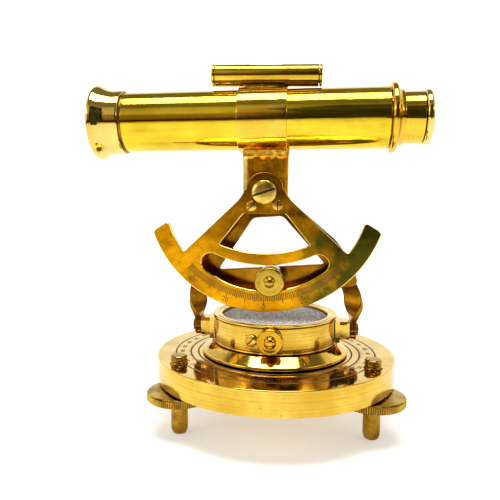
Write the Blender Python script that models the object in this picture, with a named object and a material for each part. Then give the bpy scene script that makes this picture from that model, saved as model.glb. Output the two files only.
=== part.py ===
"""Brass surveyor's alidade: a levelled base, a turning compass drum, and a telescope that tilts on a sector.

Front is -Y, the objective end of the telescope is at -X and the eyepiece at +X.  Z = 0 is the table.
All sizes below are in millimetres and are turned into metres where a mesh is written.
"""
import math

import bmesh
import bpy
from mathutils import Matrix, Vector

MM = 0.001
GAP = 0.3                     # clearance kept between neighbouring solids
LARGE, MEDIUM, SMALL = 48, 32, 16    # sides of a round piece

# Base
BASE_R = 47.5
BASE_BOTTOM = 17.6
BASE_TOP = 27.05
BASE_CHAMFER = 0.4

# Levelling feet
FOOT_CIRCLE_R = 41.7
FOOT_PATTERN_TURN = 4.0       # degrees that the feet are turned from the telescope's line
FOOT_ANGLES = (210.0, 330.0, 90.0)
FOOT_R = 3.2
FOOT_TIP_R = 2.0              # flat that stands on the table
FOOT_TOP = 30.6
WHEEL_R = 12.2
WHEEL_BOTTOM = 13.6
WHEEL_TOP = 16.9

# Spindle that the compass turns on
SPINDLE_R = 4.0
SPINDLE_BOTTOM = 20.0
SPINDLE_HEAD_R = 7.0

# Compass drum
SKIRT_R = 29.3
SKIRT_SHOULDER_R = 25.3
SKIRT_BOTTOM = BASE_TOP + 0.45
SKIRT_RIM_TOP = 28.5
SKIRT_TOP = 31.6
DRUM_R = 24.5
DRUM_BOTTOM = SKIRT_TOP + GAP
DRUM_FLOOR = 34.4
DRUM_TOP = 41.8
DIAL_SEAT = 36.6
DIAL_R = 20.9
GLASS_SEAT = 40.6
GLASS_R = 21.6
BEZEL_TOP = 43.0
BEZEL_INNER_R = 21.2
BEZEL_OUTER_R = 24.9
NEEDLE_LENGTH = 33.0
NEEDLE_WIDTH = 3.0

# Lugs that carry the upright
LUG_BOTTOM = 33.4
LUG_TOP = 40.5
LUG_MIDDLE = (LUG_BOTTOM + LUG_TOP) / 2
LUG_OUTER_X = 29.7
LUG_HALF_DEPTH = 4.5
LUG_PAD = 1.1
PAD_MARGIN = 0.9

# Clamp thumbscrew and small screw on the front of the drum
THUMB_Z = 37.7
THUMB_R = 4.9
THUMB_THICKNESS = 3.4
DRUM_SCREW_X = -7.0
DRUM_SCREW_Z = 37.0
DRUM_SCREW_R = 2.3

# Upright frame, leaning a few degrees to the objective side
PIVOT_X = -3.7
PIVOT_Z = 91.5
UPRIGHT_LEAN = 3.9            # degrees
UPRIGHT_FRONT = -0.2
UPRIGHT_BACK = 3.0
UPRIGHT_BOSS_R = 7.4
BAND_TOP = -30.1              # below the pivot
BAND_BOTTOM = -39.5
LEG_X = 31.2                  # middle of a leg beside its lug
LEG_THICKNESS = 2.4
LEG_WIDTH = 8.0
LEG_START_Z = 55.0
LEG_START_HALF = 3.3          # half its width where it leaves the band
LEG_START_THICKNESS = 2.9     # a little thinner than the band
LEG_END_Z = 33.0

# Sector
SECTOR_FRONT = -10.2
SECTOR_BACK = -7.4
SECTOR_OUTER_R = 46.6
SECTOR_BOSS_R = 7.6
HORN_INNER_R = 39.5
HORN_TIP_ANGLE = 71.5         # degrees from straight down
HORN_NOTCH_ANGLE = 53.5
ARM_OUTER_TOP = (7.5, -0.7)
ARM_OUTER_END = (31.2, -23.0)
ARM_INNER_TOP = (8.2, -8.4)
ARM_INNER_END = (17.6, -20.2)
CROSSBAR_TOP = -23.7
CROSSBAR_TOP_R = 46.0
CROSSBAR_BOTTOM = -28.2
CROSSBAR_BOTTOM_R = 47.3
SLOT_OUTER_R = 38.2
SLOT_END_ANGLE = 37.5
SLOT_END_RADIUS = 34.6
SLOT_END_R = 3.6
SECTOR_SCREWS = (("left", -4.9, -5.3, 45), ("right", 5.1, -5.0, 90))   # x, z, slot angle
SECTOR_SCREW_R = 2.0
SECTOR_SCREW_HEAD = 0.8

# Small screws and the holes that they go into
SMALL_SHANK_R = 1.0
SMALL_HOLE_R = 1.3
CROSS_HOLE_R = 1.7            # through a lug and its leg

# Pivot and sector clamp
PIVOT_SHANK_R = 3.0
PIVOT_HEAD_R = 4.65
WASHER_R = 4.8
CLAMP_RADIUS = 34.4           # from the pivot to the clamp stud
CLAMP_KNOB_R = 5.7
CLAMP_STUD_R = 1.8
SPACER_R = 5.4

# Neck and telescope
NECK_HALF_WIDTH = 8.8
NECK_FRONT = -7.1
NECK_BACK = -0.5
NECK_BOTTOM = 83.7
TUBE_Y = -3.8
TUBE_Z = 119.1
TUBE_R = 11.5
TUBE_BORE_R = 10.2
CLAMP_BAND_R = 12.4
CLAMP_BAND_X = (-14.0, 4.6)
BELL_FRONT = -71.5
BELL_RIM_R = 14.5
BELL_BACK = -59.7
BELL_GROOVE = 0.9             # open groove between the bell and the tube
COLLAR_X = 42.3
COLLAR_R = 13.0
DRAW_R = 9.6
DRAW_INNER_R = 8.4
CAP_X = 54.4
CAP_R = 10.2
EYE_LENS_END = 58.4
LEVEL_MIDDLE = -3.6
LEVEL_HALF = 21.0
LEVEL_R = 4.15
LEVEL_Z = 135.8
LEVEL_SKEW = 1.4              # degrees that the level stands off the tube, objective end up
LEVEL_WINDOW_X = 6.8          # half the length of the opening over the vial

# The part's origin is under the middle of its box, so the vertical axis stands off it.
AXIS_X = -(BELL_FRONT + EYE_LENS_END) / 2
REAR_REACH = FOOT_CIRCLE_R * math.cos(math.radians(FOOT_PATTERN_TURN)) + WHEEL_R
AXIS_Y = -(REAR_REACH - BASE_R) / 2

COLOURS = {
    "bright_brass": ((0.80, 0.58, 0.20), 0.18),
    "pale_brass": ((0.86, 0.72, 0.42), 0.12),
    "amber_brass": ((0.66, 0.38, 0.07), 0.30),
    "dark_brass": ((0.45, 0.28, 0.07), 0.40),
    "steel": ((0.45, 0.45, 0.47), 0.35),
}


# Materials ---------------------------------------------------------------------------------------

def material(name, colour, roughness, metallic=1.0, alpha=1.0):
    found = bpy.data.materials.get(name)
    if found:
        return found
    made = bpy.data.materials.new(name)
    made.use_nodes = True
    shader = made.node_tree.nodes["Principled BSDF"]
    shader.inputs["Base Color"].default_value = (*colour, 1.0)
    shader.inputs["Roughness"].default_value = roughness
    shader.inputs["Metallic"].default_value = metallic
    shader.inputs["Alpha"].default_value = alpha
    return made


def brass(kind):
    colour, roughness = COLOURS[kind]
    return material(kind, colour, roughness)


def glass():
    return material("optical_glass", (0.75, 0.82, 0.82), 0.05, metallic=0.0, alpha=0.4)


# Mesh helpers ------------------------------------------------------------------------------------

def finish(bm, name, surface, parent=None, location=(0, 0, 0), rotation=None):
    """Write a bmesh in millimetres as an object in metres."""
    bmesh.ops.recalc_face_normals(bm, faces=bm.faces)
    bmesh.ops.scale(bm, vec=(MM, MM, MM), verts=bm.verts)
    mesh = bpy.data.meshes.new(name)
    bm.to_mesh(mesh)
    bm.free()
    mesh.shade_smooth()
    mesh.set_sharp_from_angle(angle=math.radians(35))
    made = bpy.data.objects.new(name, mesh)
    bpy.context.scene.collection.objects.link(made)
    if surface:
        mesh.materials.append(surface)
    made.location = Vector(location) * MM
    if rotation:
        made.rotation_euler = rotation
    made.parent = parent
    return made


def turned(profile, segments, closed=True):
    """Turn (radius, height) points about Z.  A closed profile gives a ring; an open one starts and
    ends on the axis."""
    bm = bmesh.new()
    rings = []
    for radius, height in profile:
        if radius < 1e-6:
            rings.append([bm.verts.new((0, 0, height))])
            continue
        loop = []
        for step in range(segments):
            angle = 2 * math.pi * step / segments
            loop.append(bm.verts.new((radius * math.cos(angle), radius * math.sin(angle), height)))
        rings.append(loop)
    pairs = list(zip(rings, rings[1:]))
    if closed:
        pairs.append((rings[-1], rings[0]))
    for lower, upper in pairs:
        for step in range(segments):
            after = (step + 1) % segments
            if len(lower) == 1 and len(upper) == 1:
                break
            if len(lower) == 1:
                bm.faces.new((lower[0], upper[after], upper[step]))
            elif len(upper) == 1:
                bm.faces.new((lower[step], lower[after], upper[0]))
            else:
                bm.faces.new((lower[step], lower[after], upper[after], upper[step]))
    return bm


def rod(radius, low, high, segments=SMALL):
    return turned([(0, low), (radius, low), (radius, high), (0, high)], segments, closed=False)


def ring(inner, outer, low, high, segments=MEDIUM):
    return turned([(inner, low), (outer, low), (outer, high), (inner, high)], segments)


def block(low, high):
    """A box between two corners."""
    bm = bmesh.new()
    bmesh.ops.create_cube(bm, size=1.0)
    size = Vector(high) - Vector(low)
    middle = (Vector(high) + Vector(low)) / 2
    bmesh.ops.scale(bm, vec=size, verts=bm.verts)
    bmesh.ops.translate(bm, vec=middle, verts=bm.verts)
    return bm


def plate(outline, front, back):
    """Extrude an (x, z) outline from y = front to y = back."""
    bm = bmesh.new()
    near = [bm.verts.new((x, front, z)) for x, z in outline]
    far = [bm.verts.new((x, back, z)) for x, z in outline]
    bm.faces.new(near)
    bm.faces.new(far[::-1])
    count = len(outline)
    for step in range(count):
        after = (step + 1) % count
        bm.faces.new((near[step], near[after], far[after], far[step]))
    return bm


def arc(centre, radius, start, end, steps):
    """Points on a circle in the XZ plane; angles in degrees from straight down, positive to +X."""
    points = []
    for step in range(steps + 1):
        angle = math.radians(start + (end - start) * step / steps)
        points.append((centre[0] + radius * math.sin(angle), centre[1] - radius * math.cos(angle)))
    return points


def along(axis, bm):
    """Lay a piece that was turned about Z along another axis."""
    turns = {
        "X": Matrix.Rotation(math.radians(90), 3, "Y"),
        "-X": Matrix.Rotation(math.radians(-90), 3, "Y"),
        "-Y": Matrix.Rotation(math.radians(90), 3, "X"),
    }
    bmesh.ops.rotate(bm, cent=(0, 0, 0), matrix=turns[axis], verts=bm.verts)
    return bm


def tool(bm, name, parent=None, location=(0, 0, 0), rotation=None):
    """A hidden solid that another piece is cut by or joined with."""
    made = finish(bm, name, None, parent, location, rotation)
    made.hide_render = True
    made.display_type = "WIRE"
    return made


def combine(target, helper, operation):
    boolean = target.modifiers.new(helper.name, "BOOLEAN")
    boolean.object = helper
    boolean.operation = operation
    boolean.solver = "EXACT"


def cut(target, bm, name, parent=None, location=(0, 0, 0), rotation=None):
    combine(target, tool(bm, name, parent, location, rotation), "DIFFERENCE")


def join(target, bm, name, parent=None, location=(0, 0, 0), rotation=None):
    combine(target, tool(bm, name, parent, location, rotation), "UNION")


def anchor(name, location, parent=None, rotation=None):
    made = bpy.data.objects.new(name, None)
    bpy.context.scene.collection.objects.link(made)
    made.location = Vector(location) * MM
    if rotation:
        made.rotation_euler = rotation
    made.parent = parent
    return made


def slotted_head(radius, height, shank_r, shank_length, segments=SMALL):
    """A screw pointing to -Z with its domed head above Z = 0."""
    dome = 0.25 * height
    return turned([
        (0, -shank_length), (shank_r, -shank_length), (shank_r, 0), (radius, 0),
        (radius, height - dome), (radius * 0.8, height), (0, height),
    ], segments, closed=False)


def cut_slot(screw, radius, height, width, turn, parent, location, rotation):
    """The driver slot across a head, turned about the screw's own axis."""
    slot = block((-radius - 1, -width / 2, height * 0.55), (radius + 1, width / 2, height + 1))
    bmesh.ops.rotate(slot, cent=(0, 0, 0), matrix=Matrix.Rotation(turn, 3, "Z"), verts=slot.verts)
    cut(screw, slot, screw.name + "_slot", parent, location, rotation)


# Base and feet -----------------------------------------------------------------------------------

def foot_place(angle_degrees):
    angle = math.radians(angle_degrees + FOOT_PATTERN_TURN)
    return (FOOT_CIRCLE_R * math.cos(angle), FOOT_CIRCLE_R * math.sin(angle), 0)


def make_base(stand):
    low, high, edge = BASE_BOTTOM, BASE_TOP, BASE_CHAMFER
    disc = turned([
        (0, low), (BASE_R - edge, low), (BASE_R, low + edge), (BASE_R, high - edge),
        (BASE_R - edge, high), (0, high),
    ], LARGE + 8, closed=False)
    base = finish(disc, "base_plate", brass("pale_brass"), stand)
    spindle_hole = rod(SPINDLE_R + GAP, SPINDLE_BOTTOM - GAP, BASE_TOP + 1)
    cut(base, spindle_hole, "spindle_hole", stand)
    for number, angle in enumerate(FOOT_ANGLES, start=1):
        hole = rod(FOOT_R + GAP, BASE_BOTTOM - 1, BASE_TOP + 1)
        cut(base, hole, f"foot_hole_{number}", stand, foot_place(angle))


def make_spindle(stand):
    head_bottom = DRUM_FLOOR + GAP
    bolt = turned([
        (0, SPINDLE_BOTTOM), (SPINDLE_R, SPINDLE_BOTTOM), (SPINDLE_R, head_bottom),
        (SPINDLE_HEAD_R, head_bottom), (SPINDLE_HEAD_R, head_bottom + 1.5), (0, head_bottom + 1.5),
    ], SMALL + 4, closed=False)
    finish(bolt, "centre_spindle", brass("dark_brass"), stand)


def make_feet(stand):
    for number, angle in enumerate(FOOT_ANGLES, start=1):
        place = foot_place(angle)
        screw = turned([
            (0, 0), (FOOT_TIP_R, 0), (FOOT_R - 0.35, 0.6), (FOOT_R, 1.8), (FOOT_R, FOOT_TOP - 0.5),
            (FOOT_R - 0.6, FOOT_TOP), (0, FOOT_TOP),
        ], SMALL, closed=False)
        finish(screw, f"leveling_screw_{number}", brass("dark_brass"), stand, place)
        wheel = turned([
            (FOOT_R + GAP, WHEEL_BOTTOM), (WHEEL_R - 0.4, WHEEL_BOTTOM), (WHEEL_R, WHEEL_BOTTOM + 0.4),
            (WHEEL_R, WHEEL_TOP - 0.4), (WHEEL_R - 0.4, WHEEL_TOP), (FOOT_R + GAP, WHEEL_TOP),
        ], MEDIUM)
        finish(wheel, f"leveling_wheel_{number}", brass("dark_brass"), stand, place)


# Compass -----------------------------------------------------------------------------------------

def make_drum(stand):
    bore = SPINDLE_R + GAP
    skirt = turned([
        (bore, SKIRT_BOTTOM), (SKIRT_R, SKIRT_BOTTOM), (SKIRT_R, SKIRT_RIM_TOP),
        (SKIRT_SHOULDER_R, SKIRT_TOP), (bore, SKIRT_TOP),
    ], LARGE)
    finish(skirt, "vernier_skirt", brass("bright_brass"), stand)
    drum = turned([
        (bore, DRUM_BOTTOM), (DRUM_R, DRUM_BOTTOM), (DRUM_R, DRUM_TOP), (GLASS_R + GAP, DRUM_TOP),
        (GLASS_R + GAP, GLASS_SEAT), (DIAL_R + GAP, GLASS_SEAT), (DIAL_R + GAP, DIAL_SEAT),
        (DIAL_R - 1.5, DIAL_SEAT), (DIAL_R - 1.5, DRUM_FLOOR), (bore, DRUM_FLOOR),
    ], LARGE)
    body = finish(drum, "compass_drum", brass("bright_brass"), stand)
    thumb_hole = along("-Y", rod(1.9, 22.0, 26.0))
    cut(body, thumb_hole, "thumb_hole", stand, (0, 0, THUMB_Z))
    screw_turn = math.asin(DRUM_SCREW_X / DRUM_R)
    screw_hole = along("-Y", rod(SMALL_HOLE_R, 22.0, 26.0))
    cut(body, screw_hole, "drum_screw_hole", stand, (0, 0, DRUM_SCREW_Z), (0, 0, screw_turn))
    bezel = turned([
        (BEZEL_INNER_R, DRUM_TOP + GAP), (BEZEL_OUTER_R, DRUM_TOP + GAP),
        (BEZEL_OUTER_R, BEZEL_TOP - 0.3), (BEZEL_OUTER_R - 0.5, BEZEL_TOP),
        (BEZEL_INNER_R + 0.3, BEZEL_TOP), (BEZEL_INNER_R, BEZEL_TOP - 0.3),
    ], LARGE)
    finish(bezel, "bezel_ring", brass("pale_brass"), stand)


def make_compass_inside(stand):
    card = material("dial_card", (0.55, 0.54, 0.52), 0.6, metallic=0.0)
    finish(rod(DIAL_R, DIAL_SEAT + GAP, DIAL_SEAT + 1.2, LARGE), "compass_dial", card, stand)
    frosted = material("frosted_glass", (0.36, 0.35, 0.34), 0.5, metallic=0.0)
    finish(rod(GLASS_R, GLASS_SEAT + GAP, DRUM_TOP, LARGE), "cover_glass", frosted, stand)
    dial_top = DIAL_SEAT + 1.2
    pin = turned([
        (0, dial_top + GAP), (2.4, dial_top + GAP), (2.4, dial_top + 0.8), (0.6, dial_top + 0.8),
        (0.6, dial_top + 1.7), (0, dial_top + 2.1),
    ], SMALL, closed=False)
    finish(pin, "needle_pin", material("steel", *COLOURS["steel"]), stand)
    hub_bottom = dial_top + 1.3
    hub = turned([
        (1.0, hub_bottom), (1.7, hub_bottom), (1.7, hub_bottom + 1.2), (0, hub_bottom + 1.5),
        (0, hub_bottom + 1.1), (1.0, hub_bottom + 1.1),
    ], SMALL)
    half, wide = NEEDLE_LENGTH / 2, NEEDLE_WIDTH / 2
    needle = finish(hub, "compass_needle", material("blued_steel", (0.05, 0.06, 0.12), 0.3), stand)
    for side, name in ((1, "needle_north"), (-1, "needle_south")):
        leaf = bmesh.new()
        corners = [(1.35 * side, wide), (half * side, 0), (1.35 * side, -wide)]
        low = [leaf.verts.new((x, y, hub_bottom + 0.3)) for x, y in corners]
        high = [leaf.verts.new((x, y, hub_bottom + 0.9)) for x, y in corners]
        leaf.faces.new(low)
        leaf.faces.new(high[::-1])
        for step in range(3):
            after = (step + 1) % 3
            leaf.faces.new((low[step], high[step], high[after], low[after]))
        join(needle, leaf, name, stand)


def make_lugs(stand):
    for side, word in ((-1, "left"), (1, "right")):
        def xs(low, high):
            return (low, high) if side > 0 else (-high, -low)

        x0, x1 = xs(DRUM_R - 1.5, LUG_OUTER_X)
        bm = block((x0, -LUG_HALF_DEPTH, LUG_BOTTOM), (x1, LUG_HALF_DEPTH, LUG_TOP))
        long_edges = [e for e in bm.edges if abs(e.verts[0].co.x - e.verts[1].co.x) > 1]
        bmesh.ops.bevel(bm, geom=long_edges, offset=1.1, segments=1, affect="EDGES")
        lug = finish(bm, f"{word}_lug", brass("bright_brass"), stand)
        x0, x1 = xs(DRUM_R - 1.5, DRUM_R + GAP + LUG_PAD)
        pad_depth = LUG_HALF_DEPTH + PAD_MARGIN
        pad = block((x0, -pad_depth, LUG_BOTTOM - PAD_MARGIN), (x1, pad_depth, LUG_TOP + 0.6))
        join(lug, pad, f"{word}_lug_pad", stand)
        cut(lug, rod(DRUM_R + GAP, 30, 45, 96), f"{word}_lug_seat", stand)
        hole = along("X" if side > 0 else "-X", rod(CROSS_HOLE_R, LUG_OUTER_X - 3.5, LUG_OUTER_X + 1))
        cut(lug, hole, f"{word}_lug_hole", stand, (0, 0, LUG_MIDDLE))


def make_leg_screws(stand):
    seat = LEG_X + LEG_THICKNESS / 2 + GAP
    for side, word in ((-1, "left"), (1, "right")):
        bm = slotted_head(2.4, 0.9, 1.4, seat - LUG_OUTER_X + 2.8)
        turn = (0, side * math.pi / 2, 0)
        place = (side * seat, 0, LUG_MIDDLE)
        finish(bm, f"{word}_leg_screw", brass("dark_brass"), stand, place, turn)


def make_drum_screws(stand):
    front = DRUM_R + GAP
    knob = turned([
        (0, 22.4), (1.6, 22.4), (1.6, front), (THUMB_R - 1.1, front), (THUMB_R, front + 1.2),
        (THUMB_R, front + THUMB_THICKNESS - 0.4), (THUMB_R - 0.4, front + THUMB_THICKNESS),
        (1.9, front + THUMB_THICKNESS), (1.6, front + THUMB_THICKNESS + 1.0),
        (0, front + THUMB_THICKNESS + 1.5),
    ], SMALL + 4, closed=False)
    finish(along("-Y", knob), "drum_thumbscrew", brass("amber_brass"), stand, (0, 0, THUMB_Z))
    turn = math.asin(DRUM_SCREW_X / DRUM_R)
    bm = slotted_head(DRUM_SCREW_R, 0.9, SMALL_SHANK_R, 2.4)
    bmesh.ops.translate(bm, vec=(0, 0, front + 0.15), verts=bm.verts)
    spin = (math.pi / 2, 0, turn)
    screw = finish(bm, "drum_screw", brass("amber_brass"), stand, (0, 0, DRUM_SCREW_Z), spin)
    slot = block((-3, -0.3, front + 0.65), (3, 0.3, front + 2))
    quarter = Matrix.Rotation(math.radians(45), 3, "Z")
    bmesh.ops.rotate(slot, cent=(0, 0, 0), matrix=quarter, verts=slot.verts)
    cut(screw, slot, "drum_screw_slot", stand, (0, 0, DRUM_SCREW_Z), spin)


# Upright -----------------------------------------------------------------------------------------

def leg_sweep(side):
    """One leg: a strip that leaves the band face-on and twists to lie flat against its lug."""
    stations = 14
    top, lug_z = LEG_START_Z, LUG_MIDDLE
    bm = bmesh.new()
    previous = None
    for step in range(stations + 1):
        share = step / stations
        z = top + (lug_z - top) * share
        bulge = 0.6 * math.sin(math.pi * min(1.0, share / 0.8)) - 2.0 * (1 - share) ** 3
        twist = min(1.0, max(0.0, (share - 0.2) / 0.65))
        turn = math.radians(90) * twist * twist * (3 - 2 * twist)
        wide = LEG_START_HALF + (LEG_WIDTH / 2 - LEG_START_HALF) * share
        thick = LEG_START_THICKNESS / 2 * (1 - share) + LEG_THICKNESS / 2 * share
        middle = Vector((side * (LEG_X + bulge), (UPRIGHT_FRONT + UPRIGHT_BACK) / 2 * (1 - share), z))
        across = Vector((math.cos(turn), -side * math.sin(turn), 0))
        through = Vector((side * math.sin(turn), math.cos(turn), 0))
        corners = [middle + across * wide * a + through * thick * b
                   for a, b in ((-1, -1), (1, -1), (1, 1), (-1, 1))]
        current = [bm.verts.new(corner) for corner in corners]
        if previous:
            for a in range(4):
                b = (a + 1) % 4
                bm.faces.new((previous[a], previous[b], current[b], current[a]))
        else:
            bm.faces.new(current[::-1])
        previous = current
    bm.faces.new(previous)
    return bm


def leg_end(side):
    """The rounded tab of a leg, beside its lug."""
    lug_z = LUG_MIDDLE
    half = LEG_WIDTH / 2
    points = [(-half, lug_z + 0.5)]
    for step in range(13):
        angle = math.radians(180 + 180 * step / 12)
        points.append((half * math.cos(angle), lug_z + (lug_z - LEG_END_Z) * math.sin(angle)))
    points.append((half, lug_z + 0.5))
    bm = bmesh.new()
    low = side * LEG_X - LEG_THICKNESS / 2
    inner = [bm.verts.new((low, y, z)) for y, z in points]
    outer = [bm.verts.new((low + LEG_THICKNESS, y, z)) for y, z in points]
    bm.faces.new(inner)
    bm.faces.new(outer[::-1])
    for step in range(len(points)):
        after = (step + 1) % len(points)
        bm.faces.new((inner[step], inner[after], outer[after], outer[step]))
    return bm


def make_upright(stand, lean):
    """Boss, two arms and a band in one leaning plate, and a twisted leg to each lug."""
    right = [
        (7.0, -1.6), (26.5, -21.0), (30.4, -27.0), (33.0, -33.5), (34.2, BAND_BOTTOM),
        (27.0, BAND_BOTTOM - 0.6),
    ]
    left = [(-x, z) for x, z in reversed(right)]
    boss = arc((0, 0), UPRIGHT_BOSS_R, 102, 258, 16)
    outline = right + [(20.0, BAND_BOTTOM), (-20.0, BAND_BOTTOM)] + left
    outline += [(x * -1, z) for x, z in boss]
    bm = plate(outline, UPRIGHT_FRONT, UPRIGHT_BACK)
    upright = finish(bm, "upright_frame", brass("bright_brass"), lean)
    window = [(-4.4, -10.0), (4.4, -10.0), (20.0, BAND_TOP), (-20.0, BAND_TOP)]
    cut(upright, plate(window, UPRIGHT_FRONT - 1, UPRIGHT_BACK + 1), "upright_window", lean)
    for side, word in ((-1, "left"), (1, "right")):
        join(upright, leg_sweep(side), f"{word}_leg", stand)
        join(upright, leg_end(side), f"{word}_leg_end", stand)
        hole = along("X" if side > 0 else "-X", rod(CROSS_HOLE_R, 28, 36))
        cut(upright, hole, f"{word}_leg_hole", stand, (0, 0, LUG_MIDDLE))
    cut(upright, along("-Y", rod(PIVOT_SHANK_R + GAP, -6, 6)), "upright_pivot_hole", lean)
    stud_hole = along("-Y", rod(CLAMP_STUD_R + GAP, -6, 6))
    cut(upright, stud_hole, "stud_hole", lean, (0, 0, -CLAMP_RADIUS))


def make_pivot(lean):
    washer_front = SECTOR_FRONT - GAP - 0.4
    washer = ring(PIVOT_SHANK_R + GAP, WASHER_R, -SECTOR_FRONT + GAP, -washer_front, SMALL + 4)
    finish(along("-Y", washer), "pivot_washer", brass("bright_brass"), lean)
    seat = -washer_front + GAP
    length = seat + UPRIGHT_BACK + 3.6
    bm = slotted_head(PIVOT_HEAD_R, 1.9, PIVOT_SHANK_R, length, SMALL + 4)
    turn = (math.pi / 2, 0, 0)
    place = (0, -seat, 0)
    screw = finish(bm, "pivot_screw", brass("amber_brass"), lean, place, turn)
    cut_slot(screw, PIVOT_HEAD_R, 1.9, 0.9, math.radians(14), lean, place, turn)
    nut_face = -UPRIGHT_BACK - GAP
    hexagon = along("-Y", rod(5.2, nut_face - 2.8, nut_face, 6))
    nut = finish(hexagon, "pivot_nut", brass("dark_brass"), lean)
    cut(nut, along("-Y", rod(PIVOT_SHANK_R + GAP, -10, 0)), "nut_hole", lean)


def make_sector_clamp(lean):
    place = (0, 0, -CLAMP_RADIUS)
    spacer = along("-Y", ring(CLAMP_STUD_R + GAP, SPACER_R, -NECK_BACK, -NECK_FRONT))
    finish(spacer, "clamp_spacer", brass("dark_brass"), lean, place)
    front = -SECTOR_FRONT + GAP
    knob = turned([
        (0, -UPRIGHT_BACK - 0.6), (CLAMP_STUD_R, -UPRIGHT_BACK - 0.6), (CLAMP_STUD_R, front),
        (CLAMP_KNOB_R - 0.4, front), (CLAMP_KNOB_R, front + 0.5), (CLAMP_KNOB_R, front + 2.6),
        (CLAMP_KNOB_R - 0.5, front + 3.0), (2.1, front + 3.1), (1.7, front + 3.9), (0, front + 4.4),
    ], SMALL + 4, closed=False)
    finish(along("-Y", knob), "sector_clamp_knob", brass("bright_brass"), lean, place)


# Sector ------------------------------------------------------------------------------------------

def sector_outline():
    """The fan-shaped plate, about the pivot: boss, arms, horns and the graduated rim."""
    notch = HORN_NOTCH_ANGLE
    tip = HORN_TIP_ANGLE
    right = [ARM_OUTER_TOP, ARM_OUTER_END]
    right += arc((0, 0), HORN_INNER_R, notch + 1.5, tip + 0.6, 7)
    right += [arc((0, 0), HORN_INNER_R + 1.0, tip + 1.4, tip + 1.4, 1)[0]]
    right += [arc((0, 0), SECTOR_OUTER_R - 1.2, tip - 0.2, tip - 0.2, 1)[0]]
    rim = arc((0, 0), SECTOR_OUTER_R, tip - 1.4, -tip + 1.4, 48)
    left = [(-x, z) for x, z in reversed(right)]
    boss = arc((0, 0), SECTOR_BOSS_R, -97, -263, 20)
    return right + rim + left + boss


def window_outline():
    """The opening between the arms, above the curved crossbar."""
    half = ARM_INNER_END[0]
    spread = math.degrees(math.asin(half / CROSSBAR_TOP_R))
    bottom = arc((0, CROSSBAR_TOP + CROSSBAR_TOP_R), CROSSBAR_TOP_R, -spread, spread, 12)
    return [(-ARM_INNER_TOP[0], ARM_INNER_TOP[1])] + bottom + [ARM_INNER_TOP]


def slot_outline():
    """The curved slot that the clamp stud runs in, below the crossbar."""
    centre = arc((0, 0), SLOT_END_RADIUS, SLOT_END_ANGLE, SLOT_END_ANGLE, 1)[0]
    lower = arc((0, 0), SLOT_OUTER_R, -SLOT_END_ANGLE, SLOT_END_ANGLE, 20)
    right_end = arc(centre, SLOT_END_R, SLOT_END_ANGLE + 15, SLOT_END_ANGLE + 135, 6)
    spread = math.degrees(math.asin((centre[0] - 1.0) / CROSSBAR_BOTTOM_R))
    upper = arc((0, CROSSBAR_BOTTOM + CROSSBAR_BOTTOM_R), CROSSBAR_BOTTOM_R, spread, -spread, 12)
    left_end = [(-x, z) for x, z in reversed(right_end)]
    return lower + right_end + upper + left_end


def make_sector(tilt):
    sector = finish(plate(sector_outline(), SECTOR_FRONT, SECTOR_BACK), "sector_plate",
                    brass("amber_brass"), tilt)
    cut(sector, plate(window_outline(), SECTOR_FRONT - 1, SECTOR_BACK + 1), "sector_window", tilt)
    cut(sector, plate(slot_outline(), SECTOR_FRONT - 1, SECTOR_BACK + 1), "sector_slot", tilt)
    hole = along("-Y", rod(PIVOT_SHANK_R + GAP, 4, 14))
    cut(sector, hole, "sector_pivot_hole", tilt)
    for word, x, z, turn in SECTOR_SCREWS:
        screw_hole = along("-Y", rod(SMALL_HOLE_R, 4, 14))
        cut(sector, screw_hole, f"{word}_sector_screw_hole", tilt, (x, 0, z))
        bm = slotted_head(SECTOR_SCREW_R, SECTOR_SCREW_HEAD, SMALL_SHANK_R, 5.5)
        place = (x, SECTOR_FRONT - 0.15, z)
        spin = (math.pi / 2, 0, 0)
        screw = finish(bm, f"{word}_sector_screw", brass("amber_brass"), tilt, place, spin)
        cut_slot(screw, SECTOR_SCREW_R, SECTOR_SCREW_HEAD, 0.5, math.radians(turn), tilt, place, spin)


# Telescope ---------------------------------------------------------------------------------------

def make_neck(tilt, tube):
    half, bottom = NECK_HALF_WIDTH, NECK_BOTTOM - PIVOT_Z
    bm = block((-half, NECK_FRONT, bottom), (half, NECK_BACK, TUBE_Z - PIVOT_Z - 4))
    neck = finish(bm, "neck_block", brass("bright_brass"), tilt)
    cradle = along("X", rod(CLAMP_BAND_R + GAP, -40, 40, LARGE))
    cut(neck, cradle, "neck_cradle", tube)
    cut(neck, along("-Y", rod(PIVOT_SHANK_R + GAP, -6, 14)), "neck_pivot_hole", tilt)
    for word, x, z, _ in SECTOR_SCREWS:
        screw_hole = along("-Y", rod(SMALL_HOLE_R, 4.2, 14))
        cut(neck, screw_hole, f"{word}_neck_screw_hole", tilt, (x, 0, z))


def make_clamp_band(tube):
    low, high = CLAMP_BAND_X
    bm = along("X", ring(TUBE_R + GAP, CLAMP_BAND_R, low, high, MEDIUM + 4))
    band = finish(bm, "clamp_band", brass("bright_brass"), tube)
    saddle = block((low + 1.0, -3.4, CLAMP_BAND_R - 1.2), (high - 1.0, 3.4, CLAMP_BAND_R + 2.2))
    tool_saddle = tool(saddle, "saddle_block", tube)
    cut(tool_saddle, along("X", rod(TUBE_R + GAP + 0.3, -30, 30, LARGE)), "saddle_inner", tube)
    combine(band, tool_saddle, "UNION")
    seat = along("X", rod(LEVEL_R + GAP, -40, 40, MEDIUM))
    cut(band, seat, "level_seat", tube, *level_place())


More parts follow.
